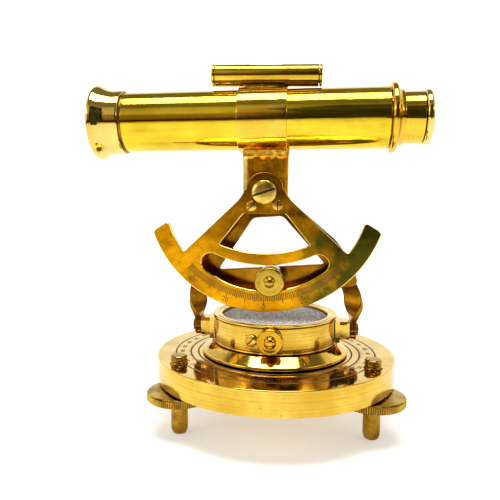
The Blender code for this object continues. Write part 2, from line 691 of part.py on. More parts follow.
def make_tube(tube):
    bm = ring(TUBE_BORE_R, TUBE_R, BELL_BACK + BELL_GROOVE, COLLAR_X - GAP, MEDIUM + 4)
    finish(along("X", bm), "main_tube", brass("bright_brass"), tube)
    front = BELL_FRONT
    bell = turned([
        (12.6, front), (BELL_RIM_R - 0.5, front), (BELL_RIM_R, front + 0.5), (BELL_RIM_R, front + 2.0),
        (BELL_RIM_R - 0.8, front + 3.0), (13.1, front + 4.9), (12.6, front + 7.0),
        (12.5, BELL_BACK - 0.5), (12.1, BELL_BACK), (11.1, BELL_BACK),
        (11.1, BELL_BACK + BELL_GROOVE - 0.1), (10.6, BELL_BACK + BELL_GROOVE - 0.1), (10.6, front + 7.5),
        (11.6, front + 7.5), (11.6, front + 3.0),
    ], MEDIUM + 4)
    finish(along("X", bell), "objective_bell", brass("bright_brass"), tube)
    lens = turned([
        (0, front + 3.9), (6.0, front + 4.2), (11.2, front + 5.2), (11.2, front + 7.2), (0, front + 7.2),
    ], MEDIUM, closed=False)
    finish(along("X", lens), "objective_lens", glass(), tube)


def make_collar(tube):
    start = COLLAR_X
    bore = DRAW_R + GAP
    bm = turned([
        (bore, start), (COLLAR_R - 0.8, start), (COLLAR_R, start + 0.7), (COLLAR_R, start + 1.8),
        (COLLAR_R - 0.8, start + 2.4), (11.4, start + 2.5), (10.5, start + 3.4), (10.2, start + 4.7),
        (bore, start + 4.7),
    ], MEDIUM + 4)
    finish(along("X", bm), "tube_collar", brass("bright_brass"), tube)


def make_eyepiece(tube):
    bm = ring(DRAW_INNER_R, DRAW_R, 28.0, CAP_X - GAP)
    finish(along("X", bm), "draw_tube", brass("bright_brass"), tube)
    cap = turned([
        (5.2, CAP_X), (CAP_R - 0.4, CAP_X), (CAP_R, CAP_X + 0.4), (CAP_R, CAP_X + 2.0),
        (CAP_R - 0.5, CAP_X + 2.5), (7.5, CAP_X + 2.9), (5.2, CAP_X + 2.9),
    ], MEDIUM)
    finish(along("X", cap), "eyepiece_cap", brass("bright_brass"), tube)
    lens = turned([
        (0, CAP_X), (4.9, CAP_X), (4.9, EYE_LENS_END - 1.0), (3.4, EYE_LENS_END - 0.2), (0, EYE_LENS_END),
    ], SMALL + 4, closed=False)
    finish(along("X", lens), "eye_lens", material("black_lens", (0.02, 0.02, 0.02), 0.15, 0.0), tube)


def level_place():
    """Where the level stands from the optical axis, and how it is turned."""
    return (LEVEL_MIDDLE, 0, LEVEL_Z - TUBE_Z), (0, math.radians(LEVEL_SKEW), 0)


def make_level(tube):
    half = LEVEL_HALF
    place, turn = level_place()
    case = finish(along("X", ring(3.1, LEVEL_R, 1.3 - half, half - 1.3, SMALL + 8)), "level_tube",
                  brass("bright_brass"), tube, place, turn)
    window = block((-LEVEL_WINDOW_X, -2.1, 1.5), (LEVEL_WINDOW_X, 2.1, 6))
    cut(case, window, "level_window", tube, place, turn)
    vial = along("X", rod(2.8, 2.2 - half, half - 2.2))
    fluid = material("vial_glass", (0.55, 0.85, 0.35), 0.05, 0.0)
    finish(vial, "level_vial", fluid, tube, place, turn)
    for side, word in ((-1, "left"), (1, "right")):
        cap = turned([
            (0, side * half), (LEVEL_R - 0.3, side * half), (LEVEL_R, side * (half - 0.3)),
            (LEVEL_R, side * (half - 1.0)), (0, side * (half - 1.0)),
        ], SMALL + 4, closed=False)
        finish(along("X", cap), f"{word}_level_cap", brass("bright_brass"), tube, place, turn)


# Assembly ----------------------------------------------------------------------------------------

def build():
    for old in list(bpy.data.objects):
        bpy.data.objects.remove(old, do_unlink=True)
    stand = anchor("vertical_axis", (AXIS_X, AXIS_Y, 0))
    tilt = anchor("elevation_axis", (PIVOT_X, 0, PIVOT_Z), stand)
    lean = anchor("upright_axis", (PIVOT_X, 0, PIVOT_Z), stand, (0, math.radians(-UPRIGHT_LEAN), 0))
    tube = anchor("optical_axis", (0, TUBE_Y, TUBE_Z), stand)
    make_base(stand)
    make_spindle(stand)
    make_feet(stand)
    make_drum(stand)
    make_compass_inside(stand)
    make_lugs(stand)
    make_leg_screws(stand)
    make_drum_screws(stand)
    make_upright(stand, lean)
    make_pivot(lean)
    make_sector_clamp(lean)
    make_sector(tilt)
    make_neck(tilt, tube)
    make_clamp_band(tube)
    make_tube(tube)
    make_collar(tube)
    make_eyepiece(tube)
    make_level(tube)


build()
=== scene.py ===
"""Looks for the brass surveyor's alidade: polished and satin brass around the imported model.

Lengths in this file are millimetres until a mesh is written.  X runs along the telescope with the
objective at -X, the front is -Y, and Z is up.
"""
from math import asin, ceil, cos, degrees, pi, radians, sin, sqrt

import bmesh
import bpy
from mathutils import Matrix, Vector, noise


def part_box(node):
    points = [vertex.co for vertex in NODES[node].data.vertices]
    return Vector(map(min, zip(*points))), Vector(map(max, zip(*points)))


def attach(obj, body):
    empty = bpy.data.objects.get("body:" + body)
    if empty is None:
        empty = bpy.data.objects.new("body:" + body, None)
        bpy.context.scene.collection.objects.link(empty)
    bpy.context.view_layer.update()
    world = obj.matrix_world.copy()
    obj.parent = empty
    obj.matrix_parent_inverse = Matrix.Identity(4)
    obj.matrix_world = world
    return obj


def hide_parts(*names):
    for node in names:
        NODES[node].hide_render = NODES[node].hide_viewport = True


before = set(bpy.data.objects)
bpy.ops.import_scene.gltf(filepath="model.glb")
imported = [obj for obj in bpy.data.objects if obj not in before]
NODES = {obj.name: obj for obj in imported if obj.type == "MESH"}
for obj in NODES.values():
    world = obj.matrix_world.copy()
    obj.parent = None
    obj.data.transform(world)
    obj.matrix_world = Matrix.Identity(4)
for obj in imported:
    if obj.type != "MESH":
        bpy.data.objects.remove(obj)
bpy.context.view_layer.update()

MM = 0.001
ORIGIN = Vector((0, 0, 0))


def middle(node):
    """The middle of a CAD node's box, in millimetres."""
    low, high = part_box(node)
    return (low + high) / 2 / MM


AXIS = Vector((middle("base_plate").x, middle("base_plate").y, 0))
TUBE = Vector((0, middle("main_tube").y, middle("main_tube").z))
PIVOT = Vector((middle("pivot_washer").x, AXIS.y, middle("pivot_washer").z))
KNOB = middle("sector_clamp_knob")
THUMB_Z = 37.7
LEAN = radians(3.9)
LEVEL_SKEW = radians(1.4)
LEVEL_LIES = Matrix.Translation(middle("level_tube") * MM) @ Matrix.Rotation(LEVEL_SKEW, 4, "Y")

# An edge is shaded as sharp when its faces turn by more than this.
PLATE_SHARP = radians(12)
KNURL_SHARP = radians(28)
USUAL_SHARP = radians(34)
NECK_SHARP = radians(40)
TURNED_SHARP = radians(50)
SADDLE_SHARP = radians(60)


# Materials

# How fine the noises in the brass are: the larger, the finer.
SMEAR_SCALE, SPECK_SCALE, RARE_SCALE, RIPPLE_SCALE = 210, 1100, 90, 75
LATHE_SCALE, LATHE_BAND_SCALE = 1700, 1150
SCRATCH_SCALE, SCUFF_SCALE, DARK_REFLECTION_SCALE = 1500, 330, 45
TARNISH = (0.10, 0.045, 0.010)
GLASS_ROUGHNESS = 0.03


def add(tree, kind, inputs=None, **settings):
    """A new shader node; its inputs are numbers, colours or the sockets that feed them."""
    made = tree.nodes.new("ShaderNode" + kind)
    for key, value in settings.items():
        setattr(made, key, value)
    for key, value in (inputs or {}).items():
        if isinstance(value, bpy.types.NodeSocket):
            tree.links.new(value, made.inputs[key])
        else:
            made.inputs[key].default_value = value
    return made


def maths(operation, *values):
    return add(values[0].id_data, "Math", dict(enumerate(values)), operation=operation).outputs[0]


def times(first, second):
    return maths("MULTIPLY", first, second)


def noise_of(place, scale, detail=3.0, roughness=0.55):
    made = add(place.id_data, "TexNoise", {"Vector": place, "Scale": scale, "Detail": detail,
                                           "Roughness": roughness})
    return made.outputs["Fac"]


def span(value, low, high, out_low=0.0, out_high=1.0):
    made = add(value.id_data, "MapRange", {"Value": value, "From Min": low, "From Max": high,
                                           "To Min": out_low, "To Max": out_high})
    return made.outputs["Result"]


def mixed(share, first, second):
    """The first colour, with a share of the second over it."""
    first, second = (value if isinstance(value, bpy.types.NodeSocket) else (*value, 1.0)
                     for value in (first, second))
    return add(share.id_data, "Mix", {0: share, 6: first, 7: second}, data_type="RGBA").outputs[2]


def turning_lines(place, centre, axis):
    """Coordinates that are the same all round a turned piece, so noise in them draws lathe lines."""
    tree = place.id_data
    moved = add(tree, "VectorMath", {0: place, 1: tuple(centre * MM)}, operation="SUBTRACT").outputs[0]
    parts = add(tree, "SeparateXYZ", {0: moved})
    order = {"X": (0, 1, 2), "Y": (1, 0, 2), "Z": (2, 0, 1)}[axis]
    run, a, b = (parts.outputs[index] for index in order)
    square = maths("ADD", times(a, a), times(b, b))
    radius = maths("SQRT", square)
    return add(tree, "CombineXYZ", {0: run, 1: radius, 2: 0.0}).outputs[0]


def new_material(name):
    """A material, its node tree, its shader and a socket with the place on the object."""
    made = bpy.data.materials.new(name)
    made.use_nodes = True
    tree = made.node_tree
    return made, tree, tree.nodes["Principled BSDF"], add(tree, "TexCoord").outputs["Object"]


def brass(name, light, deep, roughness, turned=None, lines=0.25, spots=0.4, edge=0.5,
          streak=(1.0, 1.0, 1.0), patches=60.0, wave=1.6, painted_dark_reflection=None):
    """Brass with cloudy colour, fine scratches or lathe lines, pits, specks of tarnish and bright edges.

    turned is the centre and axis of its lathe lines, and streak squeezes the scratches of a piece that
    isn't turned.  wave is how far its surface is from flat, which bends what it mirrors.  The last argument
    is a painted reflection of dark surroundings that grows from one x to another: both in millimetres, then
    its colour.
    """
    made, tree, shader, place = new_material(name)
    shader.inputs["Metallic"].default_value = 1.0
    clouds = span(noise_of(place, patches, 4), 0.36, 0.64)
    smears = noise_of(place, SMEAR_SCALE, 3)
    specks = span(noise_of(place, SPECK_SCALE, 2), 0.69, 0.74)
    rare = span(noise_of(place, RARE_SCALE, 2), 0.5, 0.66)
    tarnished = times(times(specks, rare), spots * 1.8)
    if turned:
        across = turning_lines(place, *turned)
        grain = noise_of(across, LATHE_SCALE, 5, 0.65)
        bands = noise_of(across, LATHE_BAND_SCALE, 4, 0.7)
    else:
        pulled = add(tree, "VectorMath", {0: place, 1: streak}, operation="MULTIPLY").outputs[0]
        grain = noise_of(pulled, SCRATCH_SCALE, 5, 0.65)
        bands = noise_of(pulled, SCUFF_SCALE, 3)
    colour = mixed(clouds, deep, light)
    broken = span(smears, 0.34, 0.6, 0.25, 1.0)
    worked = times(span(bands, 0.46, 0.62), broken)
    dark = tuple(channel * 0.55 for channel in deep)
    colour = mixed(times(worked, 0.8 * lines), colour, dark)
    # Painted reflection: a dark reflection of the surroundings painted over the colour from one x to
    # another.
    if painted_dark_reflection:
        run = add(tree, "SeparateXYZ", {0: place}).outputs[0]
        run = maths("ADD", run, span(smears, 0.3, 0.7, -0.004, 0.004))
        drift = span(noise_of(place, DARK_REFLECTION_SCALE, 2), 0.3, 0.7, -0.010, 0.010)
        run = maths("ADD", run, drift)
        start, end, reflected_colour = painted_dark_reflection
        colour = mixed(span(run, start * MM, end * MM, 0.0, 0.88), colour, reflected_colour)
    worn = span(add(tree, "NewGeometry").outputs["Pointiness"], 0.53, 0.60, 0.0, edge)
    pale = tuple(min(1.0, channel * 1.12 + 0.03) for channel in light)
    colour = mixed(worn, colour, pale)
    colour = mixed(tarnished, colour, TARNISH)
    tree.links.new(colour, shader.inputs["Base Color"])
    rough = span(smears, 0.3, 0.75, roughness * 0.75, roughness * 1.35)
    rough = maths("ADD", rough, times(tarnished, 0.3))
    rough = maths("SUBTRACT", rough, times(worn, roughness * 0.4))
    tree.links.new(rough, shader.inputs["Roughness"])
    height = maths("SUBTRACT", times(grain, lines), times(tarnished, 0.5))
    ripple = times(noise_of(place, RIPPLE_SCALE, 2, 0.35), wave)
    bump = add(tree, "Bump", {"Height": maths("ADD", height, ripple), "Strength": 0.22,
                              "Distance": 0.00012})
    tree.links.new(bump.outputs[0], shader.inputs["Normal"])
    return made


def plain(name, light, dark, roughness, grain, metallic=0.0, bump=0.2, contrast=(0.35, 0.65)):
    """A surface whose colour and roughness vary with one grain, such as paint, card or a grey cover."""
    made, tree, shader, place = new_material(name)
    shader.inputs["Metallic"].default_value = metallic
    value = noise_of(place, grain, 3, 0.6)
    tree.links.new(mixed(span(value, *contrast), dark, light), shader.inputs["Base Color"])
    rough = span(noise_of(place, grain / 6, 2), 0.3, 0.7, roughness * 0.8, roughness * 1.2)
    tree.links.new(rough, shader.inputs["Roughness"])
    lift = add(tree, "Bump", {"Height": value, "Strength": bump, "Distance": 0.00008})
    tree.links.new(lift.outputs[0], shader.inputs["Normal"])
    return made


def clear(name, tint, ior=1.5):
    """Clear or tinted glass with faint smears."""
    made, tree, shader, place = new_material(name)
    shader.inputs["Transmission Weight"].default_value = 1.0
    shader.inputs["IOR"].default_value = ior
    cloud = noise_of(place, 150, 3)
    darker = tuple(channel * 0.93 for channel in tint)
    tree.links.new(mixed(cloud, tint, darker), shader.inputs["Base Color"])
    rough = span(cloud, 0.4, 0.8, GLASS_ROUGHNESS, GLASS_ROUGHNESS * 4)
    tree.links.new(rough, shader.inputs["Roughness"])
    return made


SPINDLE = (AXIS, "Z")
BARREL = (TUBE, "X")

TUBE_BRASS = brass("tube_brass", (0.79, 0.585, 0.05), (0.66, 0.46, 0.03), 0.07, streak=(0.08, 1, 1),
    lines=0.5, edge=0.3)
BELL_BRASS = brass("bell_brass", (0.82, 0.62, 0.21), (0.70, 0.48, 0.10), 0.05, turned=BARREL,
    lines=0.15, spots=0.2)
BAND_BRASS = brass("band_brass", (0.80, 0.55, 0.09), (0.64, 0.41, 0.04), 0.08, streak=(0.3, 1, 1),
    lines=0.3, edge=0.0, wave=3.0)
COLLAR_BRASS = brass("collar_brass", (0.76, 0.51, 0.075), (0.58, 0.35, 0.035), 0.07, turned=BARREL,
    lines=0.3, edge=0.2)
DRAW_BRASS = brass("draw_brass", (0.78, 0.53, 0.07), (0.64, 0.41, 0.03), 0.06, turned=BARREL,
    lines=0.3, edge=0.2)
NECK_BRASS = brass("neck_brass", (0.92, 0.45, 0.018), (0.62, 0.27, 0.008), 0.26, lines=0.5,
    spots=0.12, wave=8.0)
SOLDER_BRASS = brass("solder_brass", (0.70, 0.42, 0.05), (0.30, 0.16, 0.025), 0.3, lines=1.2,
    spots=1.2, patches=420)
# The right horn of the sector gets a painted dark-green reflection, from x = 15 to 29 mm.
SECTOR_BRASS = brass("sector_brass", (0.84, 0.41, 0.008), (0.42, 0.19, 0.005), 0.20, lines=0.45,
    spots=0.6, edge=0.0, wave=12.0, patches=42.0, painted_dark_reflection=(15, 29, (0.042, 0.066, 0.010)))
# A paler brass laid on bevels and a chamfer as a painted highlight.
PAINTED_HIGHLIGHT_BRASS = brass("painted_highlight_brass", (0.93, 0.72, 0.26), (0.84, 0.58, 0.12), 0.16, lines=0.3, edge=0.0,
    spots=0.2)
UPRIGHT_BRASS = brass("upright_brass", (0.46, 0.22, 0.013), (0.22, 0.095, 0.006), 0.17, lines=0.4,
    spots=0.6, wave=10.0)
SCREW_BRASS = brass("screw_brass", (0.92, 0.74, 0.26), (0.66, 0.45, 0.08), 0.27, streak=(1, 1, 0.12),
    lines=0.6, spots=0.6, patches=240)
SMALL_SCREW_BRASS = brass("small_screw_brass", (0.84, 0.58, 0.13), (0.56, 0.34, 0.05), 0.26, lines=0.6,
    spots=0.6, patches=300)
KNOB_BRASS = brass("knob_brass", (0.62, 0.43, 0.07), (0.40, 0.26, 0.03), 0.22, turned=(KNOB, "Y"),
    lines=0.6, spots=1.2, wave=8.0)
DRUM_BRASS = brass("drum_brass", (0.74, 0.50, 0.10), (0.54, 0.33, 0.04), 0.12, turned=SPINDLE,
    lines=0.85, spots=1.0, wave=7.0)
BEZEL_BRASS = brass("bezel_brass", (0.78, 0.56, 0.15), (0.60, 0.39, 0.06), 0.12, turned=SPINDLE, lines=0.3)
SKIRT_BRASS = brass("skirt_brass", (0.76, 0.53, 0.12), (0.62, 0.39, 0.06), 0.08, turned=SPINDLE)
BASE_BRASS = brass("base_brass", (0.75, 0.54, 0.17), (0.60, 0.40, 0.09), 0.09, turned=SPINDLE,
    lines=0.15, spots=0.9, edge=0.4)
BASE_SIDE = brass("base_side", (0.76, 0.54, 0.11), (0.60, 0.38, 0.05), 0.15, turned=SPINDLE,
    lines=0.5, spots=1.0, edge=0.6, wave=5.0)
FOOT_BRASS = brass("foot_brass", (0.48, 0.29, 0.04), (0.26, 0.14, 0.015), 0.24, lines=0.6, spots=1.2,
    patches=160, wave=6.0)
WHEEL_BRASS = brass("wheel_brass", (0.54, 0.37, 0.07), (0.33, 0.20, 0.03), 0.26, lines=0.6, spots=1.2,
    patches=130, wave=6.0)
# Dark tarnished brass, also laid behind the objective bell as painted shade.
OLD_BRASS_AND_SHADE = brass("old_brass_and_shade", (0.42, 0.24, 0.035), (0.20, 0.10, 0.015), 0.30, lines=0.6, spots=1.3,
    patches=150)
THUMB_BRASS = brass("thumb_brass", (0.74, 0.46, 0.045), (0.50, 0.27, 0.018), 0.17,
    turned=(Vector((AXIS.x, 0, THUMB_Z)), "Y"), lines=0.4, spots=0.8)
LEVEL_BRASS = brass("level_brass", (0.78, 0.55, 0.08), (0.56, 0.35, 0.03), 0.09, streak=(0.1, 1, 1),
    lines=0.5)
# Dark fill for the engraved scale marks and circles, also painted shade in the screw slots.
MARK_FILL_AND_SLOT_SHADE = plain("mark_fill_and_slot_shade", (0.10, 0.045, 0.012), (0.045, 0.02, 0.006), 0.5, 2600)
SPECKLED_GREY = plain("speckled_grey", (0.70, 0.68, 0.67), (0.25, 0.24, 0.235), 0.6, 1500, bump=0.7,
    contrast=(0.46, 0.54))
CARD = plain("dial_card", (0.80, 0.78, 0.74), (0.72, 0.70, 0.64), 0.6, 500)
STEEL = plain("turned_steel", (0.5, 0.5, 0.52), (0.38, 0.38, 0.4), 0.35, 1800, metallic=1.0)
BLUED = plain("blued_steel", (0.05, 0.07, 0.16), (0.03, 0.03, 0.08), 0.25, 700, metallic=1.0)
BLACK_GLASS = plain("black_glass", (0.012, 0.011, 0.010), (0.03, 0.026, 0.02), 0.09, 300, bump=0.02)
LENS_GLASS = clear("lens_glass", (0.86, 0.93, 0.96))
VIAL_FLUID = clear("vial_fluid", (0.62, 0.88, 0.22), ior=1.42)


# Mesh helpers

WELD_GAP = 0.002
LEAST_TURN = radians(12)
MARK_DEEP, MARK_PROUD = 0.1, 0.02
TEXT_HALF = 0.03
AIM = {
    "Z": Matrix.Identity(4),
    "X": Matrix.Rotation(radians(90), 4, "Y"),
    "-Y": Matrix.Rotation(radians(90), 4, "X"),
}


def placed(name, data):
    """A new object in the scene."""
    made = bpy.data.objects.new(name, data)
    bpy.context.scene.collection.objects.link(made)
    return made


def shade(obj, sharp):
    """Smooth shading that follows the larger faces and stops at edges sharper than asked."""
    obj.data.shade_smooth()
    obj.data.set_sharp_from_angle(angle=sharp)
    even = obj.modifiers.new("even_shading", "WEIGHTED_NORMAL")
    even.keep_sharp = True


def settle(obj, surface, body, replaced=(), sharp=USUAL_SHARP):
    """Shade a finished mesh, give it its material, and fix it to its body."""
    if surface and not obj.data.materials:
        obj.data.materials.append(surface)
    shade(obj, sharp)
    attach(obj, body)
    if replaced:
        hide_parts(*replaced)


def mesh_object(name, points, faces):
    mesh = bpy.data.meshes.new(name)
    mesh.from_pydata([tuple(Vector(point) * MM) for point in points], [], faces)
    mesh.validate()
    return placed(name, mesh)


def baked(obj):
    """Apply an object's modifiers, or turn a curve into a mesh, and return the mesh object."""
    bpy.context.view_layer.update()
    graph = bpy.context.evaluated_depsgraph_get()
    mesh = bpy.data.meshes.new_from_object(obj.evaluated_get(graph))
    name, world = obj.name, obj.matrix_world.copy()
    bpy.data.objects.remove(obj, do_unlink=True)
    mesh.transform(world)
    mesh.name = name
    return placed(name, mesh)


def outward(obj):
    """Point every face of a closed mesh outward."""
    bm = bmesh.new()
    bm.from_mesh(obj.data)
    bmesh.ops.recalc_face_normals(bm, faces=bm.faces)
    bm.to_mesh(obj.data)
    bm.free()
    return obj


def carve(obj, cutters, operation="DIFFERENCE"):
    """Cut pieces out of a mesh object, or join them to it, and remove them."""
    for cutter in cutters:
        boolean = obj.modifiers.new("carve", "BOOLEAN")
        boolean.object = cutter
        boolean.operation = operation
        boolean.solver = "EXACT"
    made = baked(obj)
    for cutter in cutters:
        bpy.data.objects.remove(cutter, do_unlink=True)
    return made


def rounded(points, radius, steps=3, closed=True):
    """Round the corners of a polyline, each by as much as its neighbours leave room for."""
    made = []
    count = len(points)
    most = 0.45
    for index, point in enumerate(points):
        corner = Vector(point)
        if not closed and index in (0, count - 1):
            made.append(tuple(corner))
            continue
        before, after = Vector(points[index - 1]), Vector(points[(index + 1) % count])
        reach = min(radius, (before - corner).length * most, (after - corner).length * most)
        turn = (corner - before).angle(after - corner, 0.0)
        if turn < LEAST_TURN or reach < 1e-4:
            made.append(tuple(corner))
            continue
        start = corner + (before - corner).normalized() * reach
        end = corner + (after - corner).normalized() * reach
        for step in range(steps + 1):
            share = step / steps
            spot = start * (1 - share) ** 2 + corner * 2 * share * (1 - share) + end * share ** 2
            made.append(tuple(spot))
    return made


def split_long(points, longest, closed):
    """Add points to a polyline so that no stretch is longer than asked."""
    made = []
    pairs = list(zip(points, points[1:]))
    if closed:
        pairs.append((points[-1], points[0]))
    for first, second in pairs:
        a, b = Vector(first), Vector(second)
        pieces = max(1, ceil((b - a).length / longest))
        made += [tuple(a.lerp(b, step / pieces)) for step in range(pieces)]
    if not closed:
        made.append(points[-1])
    return made


def lathe(name, profile, centre, axis="Z", sides=128, closed=True, fillet=0.25, longest=2.0,
          ripple=None):
    """Turn a profile of (radius, height) points about an axis through centre.

    A closed profile makes a ring; one that isn't starts and ends on the axis.  ripple gives the radius
    at each radius, height and angle.
    """
    profile = split_long(rounded(profile, fillet, closed=closed), longest, closed)
    points, faces, rings = [], [], []
    for radius, height in profile:
        if radius < 1e-5:
            rings.append([len(points)])
            points.append((0.0, 0.0, height))
            continue
        start = len(points)
        for step in range(sides):
            angle = 2 * pi * step / sides
            true = ripple(radius, height, angle) if ripple else radius
            points.append((true * cos(angle), true * sin(angle), height))
        rings.append(list(range(start, start + sides)))
    pairs = list(zip(rings, rings[1:]))
    if closed:
        pairs.append((rings[-1], rings[0]))
    for lower, upper in pairs:
        for step in range(sides):
            after = (step + 1) % sides
            if len(lower) == 1 and len(upper) == 1:
                break
            if len(lower) == 1:
                faces.append((lower[0], upper[after], upper[step]))
            elif len(upper) == 1:
                faces.append((lower[step], lower[after], upper[0]))
            else:
                faces.append((lower[step], lower[after], upper[after], upper[step]))
    made = mesh_object(name, points, faces)
    made.data.transform(Matrix.Translation(centre * MM) @ AIM[axis])
    bpy.context.view_layer.update()
    return outward(made)


def rod(name, radius, half, centre, axis, sides):
    """A plain rod to cut with, half long each way."""
    return lathe(name, [(0, -half), (radius, -half), (radius, half), (0, half)], centre, axis, sides=sides,
                 closed=False)


def arc(centre, radius, start, end, steps):
    """Points on a circle in the XZ plane, with angles in degrees from straight down towards +X."""
    made = []
    for step in range(steps + 1):
        angle = radians(start + (end - start) * step / steps)
        made.append((centre[0] + radius * sin(angle), centre[1] - radius * cos(angle)))
    return made


def plate(name, outlines, front, back, bevel, place):
    """A plate between y = front and y = back with bevelled edges; outlines after the first are holes."""
    curve = bpy.data.curves.new(name, "CURVE")
    curve.dimensions = "2D"
    curve.fill_mode = "BOTH"
    curve.extrude = ((back - front) / 2 - bevel) * MM
    curve.bevel_depth = bevel * MM
    curve.bevel_resolution = 2
    curve.offset = -bevel * MM
    for outline in outlines:
        spline = curve.splines.new("POLY")
        spline.points.add(len(outline) - 1)
        for target, (x, z) in zip(spline.points, outline):
            target.co = (x * MM, z * MM, 0, 1)
        spline.use_cyclic_u = True
    made = placed(name, curve)
    shift = Matrix.Translation(Vector((0, (front + back) / 2, 0)) * MM)
    made.matrix_world = place @ shift @ AIM["-Y"]
    made = baked(made)
    weld = made.modifiers.new("weld", "WELD")
    weld.merge_threshold = WELD_GAP * MM
    return baked(made)


def paint(obj, surfaces, choose):
    """Give a mesh several materials; choose says which of them a face gets."""
    obj.data.materials.clear()
    for surface in surfaces:
        obj.data.materials.append(surface)
    for polygon in obj.data.polygons:
        polygon.material_index = choose(polygon)


def on_bevel(polygon):
    """1 on the bevels of a plate that faces the front, which get a painted highlight, 0 on its flat faces
    and sides.
    """
    return 1 if 0.05 < abs(polygon.normal.y) < 0.97 else 0


def prism(points_low, points_high):
    """Points and faces of a solid between two matching outlines."""
    count = len(points_low)
    faces = [tuple(range(count))[::-1], tuple(range(count, 2 * count))]
    for step in range(count):
        after = (step + 1) % count
        faces.append((step, after, count + after, count + step))
    return list(points_low) + list(points_high), faces


def solid(name, points_low, points_high):
    """A solid between two matching outlines, to cut with."""
    return outward(mesh_object(name, *prism(points_low, points_high)))


def skinned(name, points, ring):
    """A solid through rings of points that follow each other, ring points in each."""
    rows = len(points) // ring - 1
    faces = []
    for start in range(0, rows * ring, ring):
        for step in range(ring):
            after = (step + 1) % ring
            faces.append((start + step, start + after, start + ring + after, start + ring + step))
    faces.append(tuple(range(ring))[::-1])
    faces.append(tuple(range(rows * ring, (rows + 1) * ring)))
    return outward(mesh_object(name, points, faces))


def bar(origin, out, side, near, far):
    """The corners of a scale mark that runs from near to far along out."""
    return [origin + out * near - side, origin + out * far - side,
            origin + out * far + side, origin + out * near + side]


def marks(name, strokes, texts, body):
    """Filled scale marks: strokes are prisms, texts are (words, size, matrix)."""
    points, faces = [], []
    for low, high in strokes:
        some, more = prism(low, high)
        faces += [tuple(index + len(points) for index in face) for face in more]
        points += some
    made = mesh_object(name, points, faces)
    outward(made)
    parts = [made]
    for words, size, matrix in texts:
        text = bpy.data.curves.new(name + "_text", "FONT")
        text.body = words
        text.size = size * MM
        text.align_x = "CENTER"
        text.align_y = "CENTER"
        text.extrude = TEXT_HALF * MM
        text.resolution_u = 3
        written = placed(name + "_text", text)
        written.matrix_world = matrix
        parts.append(baked(written))
    with bpy.context.temp_override(active_object=made, selected_editable_objects=parts):
        bpy.ops.object.join()
    made.data.materials.clear()
    settle(made, MARK_FILL_AND_SLOT_SHADE, body)


# Base

BASE_R = 47.5
BASE_LOW, BASE_HIGH = 17.6, 27.05
CIRCLES = (40.05, 34.0, 31.0)
CIRCLE_WIDTH, CIRCLE_DEPTH = 0.5, 0.3
FOOT_HOLE_R = 3.5
SCALE_IN, SCALE_LONG, SCALE_SHORT, SCALE_TEXT = 34.2, 35.6, 35.0, 37.5
LONG_HALF, SHORT_HALF, SCALE_FIGURE = 0.09, 0.07, 2.5


def groove(radius, height, width, depth):
    """A V groove in a face that runs inward at one height."""
    return [(radius + width / 2, height), (radius, height - depth), (radius - width / 2, height)]


def base_face(polygon):
    """0 on the top, 1 on the rim, and 2 in the engraved circles."""
    spot = polygon.center / MM - AXIS
    if polygon.normal.z < 0.4 and spot.xy.length > BASE_R - 1:
        return 1
    if 25 < spot.xy.length < BASE_R - 2 and BASE_HIGH - 0.35 < spot.z < BASE_HIGH - 0.02:
        return 2
    return 0


def make_base():
    profile = [(0, BASE_LOW), (BASE_R, BASE_LOW), (BASE_R, BASE_LOW + 0.5), (BASE_R, BASE_HIGH)]
    for radius in CIRCLES:
        profile += groove(radius, BASE_HIGH, CIRCLE_WIDTH, CIRCLE_DEPTH)
    profile.append((0, BASE_HIGH))
    base = lathe("base_plate_turned", profile, AXIS, sides=192, closed=False, fillet=0.4, longest=3.0)
    cutters = []
    for number in (1, 2, 3):
        spot = middle(f"leveling_screw_{number}")
        hole = [(0, 10), (FOOT_HOLE_R, 10), (FOOT_HOLE_R, 40), (0, 40)]
        cutters.append(lathe(f"hole_{number}", hole, Vector((spot.x, spot.y, 0)), sides=48, closed=False))
    base = carve(base, cutters)
    paint(base, [BASE_BRASS, BASE_SIDE, MARK_FILL_AND_SLOT_SHADE], base_face)
    settle(base, None, "base", ["base_plate"])
    strokes, texts = [], []
    for degree in range(0, 360, 2):
        long = degree % 10 == 0
        bearing = radians(degree)
        out = Vector((cos(bearing), sin(bearing), 0))
        side = Vector((-out.y, out.x, 0)) * (LONG_HALF if long else SHORT_HALF)
        flat = bar(AXIS, out, side, SCALE_IN, SCALE_LONG if long else SCALE_SHORT)
        strokes.append(([p + Vector((0, 0, BASE_HIGH - MARK_DEEP)) for p in flat],
                        [p + Vector((0, 0, BASE_HIGH + MARK_PROUD)) for p in flat]))
        if long:
            turn = Matrix(((-out.y, -out.x, 0), (out.x, -out.y, 0), (0, 0, 1))).to_4x4()
            spot = (AXIS + out * SCALE_TEXT + Vector((0, 0, BASE_HIGH))) * MM
            texts.append((str((450 - degree) % 360), SCALE_FIGURE, Matrix.Translation(spot) @ turn))
    marks("base_scale", strokes, texts, "base")


KNURL_TEETH, TOOTH_DEPTH, THREAD_PITCH = 92, 0.42, 1.0


def knurl(radius, height, angle):
    """Fine straight teeth round a wheel's rim."""
    if radius < 11.9:
        return radius
    phase = (angle * KNURL_TEETH / (2 * pi)) % 1.0
    return radius - TOOTH_DEPTH * abs(2 * phase - 1) ** 1.5


def thread(radius, height, angle):
    """A thread on the upper part of a foot screw."""
    if radius < 3.15 or height < 16.0:
        return radius
    phase = (height / THREAD_PITCH - angle / (2 * pi)) % 1.0
    return radius - TOOTH_DEPTH * abs(2 * phase - 1)


